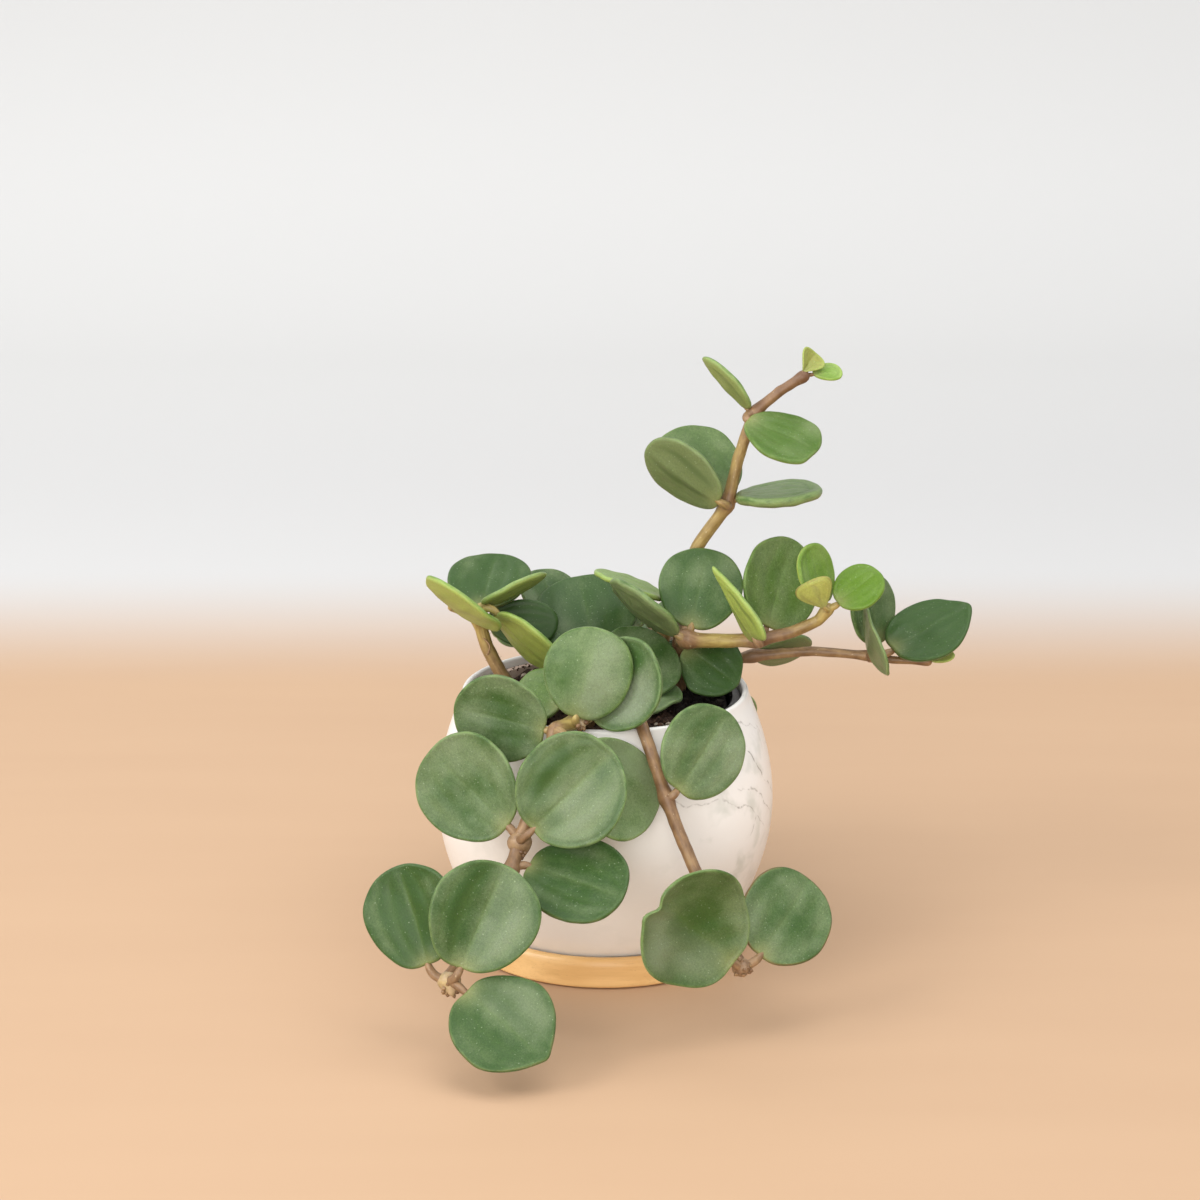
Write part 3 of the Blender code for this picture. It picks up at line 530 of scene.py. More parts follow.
def leaf_axes(leaf):
    """The midrib's direction, the direction to the blade's side and its face's direction."""
    heading, rise, roll = np.radians([leaf.heading, leaf.rise, leaf.roll])
    along = np.array([np.cos(rise) * np.cos(heading), np.cos(rise) * np.sin(heading), np.sin(rise)])
    level = np.array([-np.sin(rise) * np.cos(heading), -np.sin(rise) * np.sin(heading), np.cos(rise)])
    face = level * np.cos(roll) + np.cross(along, level) * np.sin(roll)
    return along, np.cross(face, along), face


def add_blade(skin, leaf, base, seed):
    """A thick round blade, from the middle of its face over its rolled edge to its back's middle.

    ring is the share of the way out and turn runs from the stalk round. Length runs as
    (1 - ring cos turn) / 2 and width as ring sin turn. The height is the dish, ring squared, plus
    the wave of the sides, the fold along the midrib and low ripples, plus or minus the half
    thickness, which falls from the middle to a half circle at the edge. The face has a groove
    inside its rolled edge, and it sinks along the veins, which run from the base to the tip. Rings
    lie closer towards the edge, as 1 - (1 - share) to the power 1.5.
    """
    draw = np.random.default_rng(seed)
    along, side, face = leaf_axes(leaf)
    slim = min(1.0, (leaf.length / FULL_STALK_LEAF) ** 0.7) * leaf.thick
    half_length, half_width = leaf.length / 2, leaf.width / 2
    half_size = min(half_length, half_width)
    edge = EDGE_RADIUS * slim / half_size
    out = (1 - (1 - np.linspace(0, 1, BLADE_RINGS)) ** RING_CROWDING) * (1 - edge)
    bend = np.linspace(PI / 2, -PI / 2, EDGE_RINGS)
    ring = np.concatenate([out[:-1], 1 - edge + edge * np.cos(bend), out[-2::-1]])[:, None]
    facing = np.concatenate([np.ones(BLADE_RINGS - 1), np.sin(bend), -np.ones(BLADE_RINGS - 1)])[:, None]
    turn = (np.arange(BLADE_TURNS) / BLADE_TURNS * 2 * PI)[None, :]

    phases = draw.uniform(0, 2 * PI, len(OUTLINE_WAVES))
    cut = sum(depth * bump(np.abs((turn - radians(place) + PI) % (2 * PI) - PI), radians(width))
              for place, depth, width in leaf.notches)
    outline = sum((height * np.cos(waves * turn + phase)
                   for (waves, height), phase in zip(OUTLINE_WAVES, phases)), 1)
    outline = outline - STALK_DENT[0] * bump(np.sin(turn / 2), STALK_DENT[1]) - cut * ring
    tip = np.maximum(0, -np.cos(turn)) ** 10
    x = half_length * (1 - ring * outline * np.cos(turn)) + leaf.point * leaf.length * tip * ring ** 3
    y = half_width * ring * outline * np.sin(turn) * (1 - leaf.taper * np.cos(turn))
    share_x = (1 - ring * np.cos(turn)) / 2
    share_y = ring * np.sin(turn)
    fan = share_y / np.sqrt(np.maximum(1 - (2 * share_x - 1) ** 2, 0.06))

    flat = np.minimum(ring / (1 - edge), 1)
    half = slim * (EDGE_RADIUS + (BLADE_HALF_THICKNESS - EDGE_RADIUS) * (1 - flat ** 2))
    dish = leaf.cup * half_width * (ring ** 2 - 1)
    wave = leaf.wave * half_width * ring ** 2 * (1 - np.cos(2 * turn)) * np.cos(3 * turn)
    folded = leaf.fold * half_width * (np.sqrt(share_y ** 2 + 0.006) - 0.33) * (1 - 0.3 * ring ** 4)
    local = np.stack(np.broadcast_arrays(x, y, 0 * x), axis=-1)
    low = ripples(local, BLADE_RIPPLES, seed + 1)
    inside = np.clip(np.sin(PI * share_x), 0, 1) ** 0.5 * (1 - flat ** 8)
    side_veins = sum(bump(np.abs(fan) - at, 0.09) for at in SIDE_VEINS)
    ribs = min(1.0, 0.3 + 4 * leaf.fold)
    sunk = ribs * VEIN_DEPTH * (bump(fan, 0.05) + side_veins) * inside
    groove = bump(1 - ring - 2.0 * edge, 0.6 * edge) * (0.65 + 0.35 * np.cos(turn + phases[3]))
    saddle = draw.uniform(-SADDLE, SADDLE) * (ring * np.cos(turn + draw.uniform(-0.6, 0.6))) ** 2
    keel = (KEEL_DEPTH * bump(fan, 0.1) + 0.04 * side_veins) * inside
    top, bottom = np.maximum(facing, 0) ** 8, np.maximum(-facing, 0) ** 8
    height = dish + wave + folded + (low + saddle) * min(1, half_size / 8) + facing * half
    height = height - slim * top * (sunk + LIP_DEPTH * leaf.lip * groove)
    height = height - slim * bottom * (keel + 0.1 * groove)
    points = base + along * x[..., None] + side * y[..., None] + face * height[..., None]

    grain = local + [0, 0, 1] * facing[..., None] * 3 + draw.uniform(-90, 90, 3)
    skin.add(points, grain, 0,
             youth=leaf.youth,
             under=(1 - facing) / 2,
             rim=bump(np.maximum(0, 1 - ring - 0.2 * edge) * half_size, RIM_LINE),
             vein=ribs * (bump(fan, 0.06) + 0.5 * side_veins) * inside,
             heart=bump(np.hypot(x, y), HEART_RADIUS * min(1, slim)),
             blush=leaf.blush * draw.uniform(0.8, 1.0),
             bare=max(0, leaf.bare + draw.uniform(-0.08, 0.08)),
             # Painted shade in the middle of a dished leaf, where it gets less bloom.
             dip=np.clip(1 - flat * 1.1, 0, 1) * np.clip(6 * leaf.cup, 0, 1),
             # The groove mark also paints shade: a darker line inside the rolled margin.
             groove=leaf.lip * groove * (facing > 0),
             # half is painted light and shade: more bloom and a painted sheen on the half that faces the
             # light, less on the other
             half=leaf.half * np.tanh(7 * share_y) * inside,
             band=ribs * np.sin(fan * PI * draw.uniform(2.4, 3.2) + draw.uniform(0, PI)) * inside)


def add_stalk(skin, leaf, node, bark, seed):
    """The leaf's stalk: a parabola from the stem's middle into the blade's edge, flared at the stem."""
    along, _, face = leaf_axes(leaf)
    base = node + leaf.stalk
    elbow = base - along * np.linalg.norm(leaf.stalk) * STALK_BEND
    sink = leaf.width / 2 * (leaf.cup * ((1 - 2 * STALK_REACH) ** 2 - 1) - 0.21 * leaf.fold) - 0.2
    inside = base + along * leaf.length * STALK_REACH + face * sink
    t = np.linspace(0, 1, STALK_STEPS)[:, None]
    centres = parabola(node, elbow, inside, t)
    t = t[:, 0]
    width = 1.1 + 0.45 * bump(t, 0.25) - 0.5 * t ** 6
    radii = STALK_RADIUS * min(1.0, leaf.length / FULL_STALK_LEAF) * width
    add_tube(skin, centres, radii, STALK_SIDES, 0.03, seed, youth=(bark - NODE_REDNESS, bark, bark + 0.12),
             blush=0.15)


def stem_path(shoot):
    """The stem's middle line: straight in the soil, then between a curve and straight runs."""
    path = np.array(shoot.path, float)
    share = (np.arange(STEM_STEPS) / STEM_STEPS)[None, :, None]
    straight = (path[:-1, None] * (1 - share) + path[1:, None] * share).reshape(-1, 3)
    centres = curve_through(path, STEM_STEPS)
    centres[:STEM_STEPS] = straight[:STEM_STEPS]
    centres[STEM_STEPS:-1] += (straight[STEM_STEPS:] - centres[STEM_STEPS:-1]) * STEM_STRAIGHTNESS
    return centres


def add_stem(skin, shoot, seed):
    """The stem: tapered, swollen by a bell curve at each node, with a ripple in its bark."""
    centres = stem_path(shoot)
    share = np.linspace(0, 1, len(centres))
    radii = (shoot.thick_root * (1 - share) + shoot.thick_tip * share) / 2
    youth = in_steps(shoot.bark, share)
    for number in shoot.leaves:
        distance = np.linalg.norm(centres - shoot.path[number], axis=1)
        radii = radii * (1 + NODE_SWELLING * bump(distance, NODE_SPREAD))
        youth = youth - NODE_REDNESS * bump(distance, NODE_SPREAD)
    add_tube(skin, centres, radii, STEM_SIDES, BARK_RIPPLE, seed, youth=youth)


def add_bud(skin, centre, lean, spread, count, size, youth, blush, seed):
    """A bud: a large egg that leans one way, with small brown scales crowded at its far end."""
    draw = np.random.default_rng(seed)
    centre, lean = np.asarray(centre, float), np.asarray(lean, float)
    add_egg(skin, centre - unit(lean) * spread * 0.9, lean, np.linalg.norm(lean) + spread * 1.8, spread,
            youth=youth, blush=blush)
    for direction in unit(draw.normal(size=(count, 3)) + lean * 0.6):
        start = centre + lean * draw.uniform(0.5, 1.1) + direction * spread * 0.6
        add_egg(skin, start, direction, size * draw.uniform(1.0, 1.5), size * draw.uniform(0.5, 0.75),
                youth=draw.uniform(-0.4, 0.15))


def add_hairs(skin, centres, radius, seed):
    """Short fine hairs that stand out of a stem, each a slim cone."""
    draw = np.random.default_rng(seed)
    for place in draw.integers(1, len(centres) - 1, HAIRS):
        ahead = unit(centres[place + 1] - centres[place - 1])
        away = draw.normal(size=3)
        away = unit(away - ahead * (away @ ahead))
        start = centres[place] + away * radius * 0.8
        t = np.linspace(0, 1, 4)
        path = start + (away * t[:, None] + ahead * 0.4 * (t ** 2)[:, None]) * draw.uniform(0.7, 1.3)
        skin.add(tube(path, HAIR_RADIUS * np.array([0, 1, 0.7, 0]), 3)[0], None, BARK, youth=0.4)


def leafy_shoot(shoot, number, finishes):
    """One piece for each leafy stem: its stem, stalks, blades and small parts."""
    skin = Skin()
    add_stem(skin, shoot, number * 100)
    for place, leaves in shoot.leaves.items():
        node = np.array(shoot.path[place], float)
        bark = in_steps(shoot.bark, place / (len(shoot.path) - 1))
        for count, leaf in enumerate(leaves):
            seed = number * 100 + place * 7 + count
            add_stalk(skin, leaf, node, bark, seed)
            add_blade(skin, leaf, node + leaf.stalk, seed)
    for place, *bud in BUDS.get(shoot.name, ()):
        add_bud(skin, shoot.path[place], *bud, number * 13 + place)
    if shoot.name == "left_shoot":
        centres = stem_path(shoot)
        add_hairs(skin, centres[STEM_STEPS:], 1.3, 5)
        rootlet = curve_through(ROOTLET, 6)
        add_tube(skin, rootlet, np.full(len(rootlet), ROOTLET_RADIUS), 6, 0.0, 3)
    return skin.make(shoot.name + "_foliage", finishes, "jade_leaf", shoot.name)


def soil_height(x, y):
    """The soil's top, as in the solid: a slope, a sine times a cosine, and a slanting sine."""
    waves = np.sin(x * 0.42 + 1.3) * np.cos(y * 0.37 + 0.4) + 0.5 * np.sin((x + y) * 0.61)
    return SOIL_TOP + SOIL_SLOPE * (y - x) + SOIL_UNEVENNESS * waves


def soil(finish):
    """A plug with a lumpy top: the solid's waves plus finer ripples and a fine random grit."""
    skin = Skin()
    radius = np.concatenate([np.linspace(0, SOIL_RADIUS, SOIL_RINGS),
                             np.linspace(SOIL_RADIUS, SOIL_BASE_RADIUS, SOIL_SIDE_RINGS), [0]])
    rings = turned(np.stack([radius, 0 * radius], axis=-1), SOIL_SIDES)
    top = soil_height(rings[..., 0], rings[..., 1])
    inner = np.clip((SOIL_RADIUS - radius) / SOIL_CALM_EDGE, 0, 1)[:, None]
    draw = np.random.default_rng(8)
    rough = ripples(rings, SOIL_RIPPLES, 1) + draw.uniform(-SOIL_GRIT, SOIL_GRIT, top.shape)
    top = top + rough * (0.25 + 0.75 * inner)
    fall = np.concatenate([np.zeros(SOIL_RINGS), np.linspace(0, 1, SOIL_SIDE_RINGS), [1]])[:, None]
    rings[..., 2] = top * (1 - fall) + SOIL_BASE * fall
    skin.add(rings)
    add_crumbs(skin, draw)
    return skin.make("peat_top", [finish], "peat_soil", "potting_soil")


def add_crumbs(skin, draw):
    """Crumbs on the soil and specks on the liner's lip: small stretched balls, swollen at random."""
    place = draw.uniform(0, 1, (CRUMBS + RIM_SPECKS, 2))
    radius = SOIL_RADIUS * np.sqrt(place[:, 0]) * 0.985
    turn = place[:, 1] * 2 * PI
    radius[CRUMBS:] = draw.uniform(SOIL_RADIUS, LINER_LIP_RADIUS - 0.4, RIM_SPECKS)
    turn[CRUMBS:] = radians(RIM_SPECK_HEADING) + draw.normal(0, RIM_SPECK_SPREAD, RIM_SPECKS)
    x, y = radius * np.cos(turn), radius * np.sin(turn)
    z = np.where(radius < SOIL_RADIUS, soil_height(x, y) + 0.15, LINER_TOP + 0.08)
    least, more = CRUMB_SIZE
    size = np.where(radius < SOIL_RADIUS, least + more * draw.uniform(0, 1, len(x)) ** 4,
                    draw.uniform(*RIM_SPECK_SIZE, len(x)))
    t = np.linspace(0, PI, LUMP_RINGS)
    ball = turned(np.stack([np.sin(t), np.cos(t)], axis=-1), LUMP_SIDES)
    for centre, scale in zip(np.stack([x, y, z], axis=-1), size):
        stretch = draw.uniform(*CRUMB_STRETCH, 3) * scale
        swollen = 1 + 0.2 * draw.normal(size=(LUMP_RINGS, LUMP_SIDES, 1)) * np.sin(t)[:, None, None]
        skin.add(ball * stretch * swollen + centre, youth=draw.uniform(0, 1))


def glazed_pot(finish):
    """The barrel: its belly is a smooth curve through POT_BELLY, and its lip and foot are rounded."""
    skin = Skin()
    belly = np.array(POT_BELLY)[:, ::-1]
    outside = curve_through(belly, 5)
    inner_wall = curve_through(belly[POT_INNER_POINTS] - [POT_WALL, 0], 5)
    rim_outer, rim_inner = belly[0, 0], belly[0, 0] - POT_RIM_THICKNESS
    lip_bend = np.linspace(PI, 0, 9)[1:-1, None]
    half = POT_RIM_THICKNESS / 2
    lip = np.array([rim_outer - half, POT_RIM_TOP - half]) + half * np.concatenate(
        [np.cos(lip_bend), np.sin(lip_bend)], axis=1)
    out, up = POT_FOOT_BEVEL
    hollow = POT_FOOT + POT_FOOT_HOLLOW
    ring_inner = POT_FOOT_RADIUS - POT_FOOT_RING
    foot = softened([(POT_FOOT_RADIUS + out, POT_FOOT + up), (POT_FOOT_RADIUS, POT_FOOT),
                     (ring_inner, POT_FOOT), (ring_inner - POT_FOOT_HOLLOW, hollow),
                     (DRAIN_RADIUS, hollow), (DRAIN_RADIUS, POT_FLOOR),
                     (POT_FOOT_RADIUS - POT_FLOOR_INSET, POT_FLOOR)], SMALL_ROUND)
    neck = [(rim_inner, POT_RIM_TOP - POT_NECK), (rim_inner, POT_RIM_TOP - half)]
    outline = np.concatenate([lip, outside, foot[4:-4], inner_wall, neck])
    skin.add(turned(outline, TURN_SIDES, POT_SWAY, 4), looped=True)
    return skin.make("glazed_barrel", [finish], "marbled_glaze", "marbled_pot")


def plastic_liner(finish):
    """The liner: a thin tapered wall with a flat lip and softened edges."""
    skin = Skin()
    mouth = LINER_LIP_RADIUS - LINER_LIP_WIDTH
    under_lip = LINER_TOP - LINER_LIP_THICKNESS
    outline = softened([(mouth, LINER_TOP), (LINER_LIP_RADIUS, LINER_TOP), (LINER_LIP_RADIUS, under_lip),
                        (mouth + LINER_WALL, under_lip), (LINER_FOOT_RADIUS, LINER_FLOOR),
                        (DRAIN_RADIUS, LINER_FLOOR), (DRAIN_RADIUS, LINER_FLOOR + LINER_WALL),
                        (LINER_FOOT_RADIUS - LINER_WALL, LINER_FLOOR + LINER_WALL)], SMALL_ROUND)
    skin.add(turned(outline, LINER_SIDES, LINER_SWAY, 9), looped=True)
    return skin.make("thin_liner", [finish], "black_plastic", "nursery_pot")


def wooden_saucer(finish):
    """The saucer: a turned dish with a soft outer edge, a flat lip and a shallow recess."""
    skin = Skin()
    inner = SAUCER_RADIUS - SAUCER_LIP
    (top_in, top_down), (foot_in, foot_up) = SAUCER_TOP_BEVEL, SAUCER_FOOT_BEVEL
    outline = softened([(0.01, SAUCER_RECESS_FLOOR), (inner, SAUCER_RECESS_FLOOR), (inner, SAUCER_HEIGHT),
                        (SAUCER_RADIUS - top_in, SAUCER_HEIGHT), (SAUCER_RADIUS, SAUCER_HEIGHT - top_down),
                        (SAUCER_RADIUS, foot_up), (SAUCER_RADIUS - foot_in, 0), (0.01, 0)], SAUCER_ROUND)
    outline = np.concatenate([[(0, SAUCER_RECESS_FLOOR)], outline[6:-6], [(0, 0)]])
    skin.add(turned(outline, TURN_SIDES))
    return skin.make("turned_saucer", [finish], "turned_wood", "saucer")


class Value:
    """A socket of a finish; sums and products of it add the maths nodes that they need."""

    def __init__(self, finish, socket):
        self.finish = finish
        self.socket = socket

    def __add__(self, other):
        return self.finish.maths("ADD", self, other)

    def __sub__(self, other):
        return self.finish.maths("SUBTRACT", self, other)

    def __rsub__(self, other):
        return self.finish.maths("SUBTRACT", other, self)

    def __mul__(self, other):
        return self.finish.maths("MULTIPLY", self, other)

    def __neg__(self):
        return self.finish.maths("MULTIPLY", self, -1.0)

    def __abs__(self):
        return self.finish.maths("ABSOLUTE", self)

    __radd__ = __add__
    __rmul__ = __mul__

    def larger(self, other):
        """The larger of this value and another."""
        return self.finish.maths("MAXIMUM", self, other)

    def rise(self, low, high):
        """A smooth step from 0 at low to 1 at high."""
        return self.finish.node("ShaderNodeMapRange", {"interpolation_type": "SMOOTHSTEP"},
                                {"Value": self, "From Min": low, "From Max": high})


class Finish:
    """A material: a Principled shader, and the nodes that vary it over the surface."""

    def __init__(self, name, **constants):
        self.material = bpy.data.materials.new(name)
        self.material.use_nodes = True
        self.tree = self.material.node_tree
        self.shader = self.tree.nodes["Principled BSDF"]
        for socket, value in constants.items():
            self.shader.inputs[socket.replace("_", " ")].default_value = value

    def node(self, kind, settings=None, inputs=None, output=0):
        """Add a node of a type, with its settings first and then its sockets' values or links."""
        made = self.tree.nodes.new(kind)
        for name, value in (settings or {}).items():
            setattr(made, name, value)
        for name, value in (inputs or {}).items():
            self.put(made.inputs[name], value)
        return Value(self, made.outputs[output])

    def put(self, socket, value):
        """Link a value to a socket, or set a number or a colour on it."""
        if isinstance(value, Value):
            self.tree.links.new(value.socket, socket)
        elif socket.type == "RGBA" and len(value) == 3:
            socket.default_value = (*value, 1)
        else:
            socket.default_value = value

    def shade(self, name, value):
        """Feed one of the shader's sockets."""
        self.put(self.shader.inputs[name], value)

    def maths(self, operation, *values):
        """A Math node on values or numbers."""
        return self.node("ShaderNodeMath", {"operation": operation}, dict(enumerate(values)))

    def vector(self, operation, *values, output=0):
        """A Vector Math node on vectors."""
        return self.node("ShaderNodeVectorMath", {"operation": operation}, dict(enumerate(values)), output)

    def mark(self, name, output="Fac"):
        """One of the mesh's marks."""
        return self.node("ShaderNodeAttribute", {"attribute_name": name}, output=output)

    def place(self):
        """The point on the surface, in metres."""
        return self.node("ShaderNodeTexCoord", output="Object")

    def stretched(self, vector, scale):
        """A position multiplied along each axis."""
        return self.vector("MULTIPLY", vector, scale)

    def millimetres(self):
        """The point on the surface, in millimetres."""
        return self.stretched(self.place(), (1000, 1000, 1000))

    def axes(self, vector):
        """A vector's x, y and z."""
        split = self.node("ShaderNodeSeparateXYZ", None, {0: vector}).socket.node
        return [Value(self, socket) for socket in split.outputs]

    def noise(self, vector, scale, detail=3.0, roughness=0.55, distortion=0.0):
        """Cloudy noise of about 0.2 to 0.8."""
        return self.node("ShaderNodeTexNoise", None,
                         {"Vector": vector, "Scale": scale, "Detail": detail, "Roughness": roughness,
                          "Distortion": distortion})

    def cells(self, vector, scale):
        """The distance to the nearest of some scattered points."""
        return self.node("ShaderNodeTexVoronoi", None, {"Vector": vector, "Scale": scale}, "Distance")

    def mix(self, low, high, share):
        """A colour between two."""
        return self.node("ShaderNodeMix", {"data_type": "RGBA"}, {0: share, 6: low, 7: high}, 2)

    def over(self, body, *layers):
        """A colour with others laid over it in turn, each by its share."""
        for colour, share in layers:
            body = self.mix(body, colour, share)
        return body

    def tint(self, colour, shade):
        """One colour multiplied by another."""
        return self.node("ShaderNodeMix", {"data_type": "RGBA", "blend_type": "MULTIPLY"},
                         {0: 1.0, 6: colour, 7: shade}, 2)

    def emboss(self, height, distance, strength=1.0):
        """Raise the surface's shading by a height from 0 to 1, which is worth a distance."""
        normal = self.node("ShaderNodeBump", None,
                           {"Height": height, "Distance": distance, "Strength": strength}, "Normal")
        self.shade("Normal", normal)


def leaf_finish():
    """A waxy blade: deep green under a grey-green bloom, paler and yellower where it is young. It also
    carries a painted sheen, painted light and shade on one half, and painted shade in dished middles,
    in the groove inside the margin and on leaves that lie in shade.
    """
    look = Finish("waxy_leaf", Roughness=0.4, Specular_IOR_Level=0.24, Subsurface_Weight=0.1,
                  Subsurface_Radius=(0.4, 1.0, 0.15), Subsurface_Scale=0.0012)
    grain = look.mark("grain", "Vector")
    youth, under, rim, vein, heart, blush, bare, dip, groove, band, half = map(look.mark, MARKS)
    broad = look.noise(grain, 0.1, 1.0)
    middle = look.noise(grain, 0.35, 3.0)
    fine = look.noise(grain, 2.2, 4.0, 0.75)
    grit = look.noise(grain, 6.5, 2.0, 0.8)
    # Painted light and shade: half raises the bloom on one half and lowers it on the other, and the dished
    # middle and the groove inside the margin get painted shade as less bloom.
    bloom = (broad * 1.3 + middle * 0.6 + fine * 0.45 + grit * 0.35 + band * 0.22 + half * 0.35 - 0.6
             - bare * 0.5 - dip * 0.4 - rim * 0.3 - groove * 0.3).rise(-0.1, 0.9)
    # Painted sheen: a whitish highlight laid into the colour in broad patches, strongest on the half that
    # half lights.
    painted_sheen = (broad * 1.6 + half * 0.6 + band * 0.15 - bare * 0.4 - 0.5).rise(0, 0.9)
    fans = (band * 0.5 + fine * 0.5).rise(0.3, 0.7) * (bare * 0.5 + 0.25)
    fresh = look.mix((0.042, 0.096, 0.022), (0.15, 0.28, 0.022), youth)
    dusty = look.mix((0.148, 0.206, 0.1), (0.25, 0.37, 0.09), youth)
    top = look.over(look.mix(fresh, dusty, bloom),
                    ((0.25, 0.29, 0.215), painted_sheen * 0.25 + half.larger(0) * 0.3),
                    ((0.16, 0.24, 0.08), vein * 0.3))
    bottom = look.over(look.mix((0.16, 0.205, 0.088), (0.38, 0.46, 0.09), youth * 1.2),
                       ((0.09, 0.13, 0.045), vein * 0.35 * (1 - youth)),
                       ((0.06, 0.1, 0.03), fans))
    # Its second layer is painted shade in the groove inside the rolled margin.
    body = look.over(look.mix(top, bottom, under.rise(0.35, 0.75)),
                     ((0.38, 0.345, 0.11), (youth - 0.95).rise(0, 0.35) * 0.6),
                     ((0.03, 0.07, 0.012), groove * 0.35))
    # Painted shade as well as deeper colour: the bare mark darkens a leaf, and this also stands in for the
    # shade that some leaves lie in.
    body = look.tint(body, look.mix((1.0, 1.0, 0.98), (0.74, 0.76, 0.69), bare))
    margin = look.mix((0.21, 0.3, 0.11), (0.35, 0.46, 0.12), youth)
    dust = (0.2 - look.cells(grain, 1.1)).rise(0, 0.12) * fine.rise(0.45, 0.6)
    body = look.over(
        body, (margin, rim * (middle.rise(0.35, 0.62) * 0.6 + 0.15) * (1 - bare * 0.55).larger(0.1)),
        ((0.15, 0.05, 0.022), (rim * blush * 1.5 * middle).rise(0.15, 0.6) * 0.8),
        ((0.27, 0.28, 0.11), heart * 0.6), ((0.36, 0.44, 0.3), dust * 0.4))
    mottle = look.mix((0.8, 0.8, 0.8), (1.2, 1.2, 1.2), (fine * 0.5 + grit * 0.5).rise(0.3, 0.7))
    look.shade("Base Color", look.tint(body, mottle))
    look.shade("Roughness", 0.29 + bloom * 0.14 + fine * 0.08)
    look.emboss(grit * 0.3 + fine * 0.5 + middle * 1.2, 0.0002, 0.4)
    return look.material


def bark_finish():
    """A stem: warm brown with faint lengthwise streaks and pale pores, olive where it is young."""
    look = Finish("stem_bark", Roughness=0.45, Subsurface_Weight=0.06,
                  Subsurface_Radius=(1.0, 0.6, 0.2), Subsurface_Scale=0.0008)
    grain = look.mark("grain", "Vector")
    youth = look.mark("youth")
    streaks = look.noise(look.stretched(grain, (0.22, 1.2, 1.2)), 1.1)
    patches = look.noise(grain, 0.3)
    pores = (0.13 - look.cells(look.stretched(grain, (0.5, 1.0, 1.0)), 1.0)).rise(0, 0.07)
    old = look.mix((0.125, 0.062, 0.026), (0.31, 0.185, 0.088),
                   (streaks * 0.6 + patches * 0.8).rise(0.4, 1.0))
    young = look.mix((0.25, 0.175, 0.042), (0.42, 0.33, 0.1), streaks.rise(0.3, 0.7))
    look.shade("Base Color", look.over(
        look.mix(old, young, (youth + patches * 0.3 - 0.15).rise(0.0, 0.7)),
        ((0.55, 0.45, 0.28), pores * 0.5),
        ((0.115, 0.052, 0.022), (-youth).rise(0, 0.5) * (streaks * 0.5 + 0.65)),
        ((0.52, 0.38, 0.24), look.mark("blush") * patches.rise(0.2, 0.7))))
    look.shade("Roughness", 0.38 + streaks * 0.16)
    look.emboss(streaks * 0.6 + look.noise(grain, 3.0, 2.0) * 0.3, 0.0002, 0.5)
    return look.material


# Marble veins on the pot's right side: degrees to the right of its front and height, from the
# start of each vein to its end, then its width and how dark it is.
VEINS = (
    (57, 56.5, 65, 54.6, 0.35, 0.55), (65, 54.6, 78, 52.3, 0.25, 0.4),
    (61, 49.6, 71, 42.5, 0.42, 0.85), (71, 42.5, 84, 36.2, 0.26, 0.7),
    (52, 44.2, 59, 42.2, 0.2, 0.45), (59, 42.2, 77, 33.8, 0.25, 0.6),
    (22, 44.2, 31, 42.0, 0.35, 0.5), (29, 42.5, 46, 41.2, 0.3, 0.42), (45, 41.2, 56, 39.0, 0.36, 0.75),
    (55, 39.6, 61, 35.8, 0.3, 0.7), (61, 35.8, 58, 31.0, 0.3, 0.6), (62, 35.6, 69, 31.2, 0.22, 0.5),
    (79, 53.5, 81, 46.5, 0.25, 0.4), (84, 47.4, 96, 43.0, 0.3, 0.5),
    (88, 36.0, 104, 24.0, 0.3, 0.6), (104, 24.0, 121, 20.5, 0.22, 0.45), (98, 50.0, 112, 37.5, 0.3, 0.6),
    (112, 37.5, 109, 29.0, 0.2, 0.4),
)
ARC = 0.63                    # millimetres of the pot's side for each degree


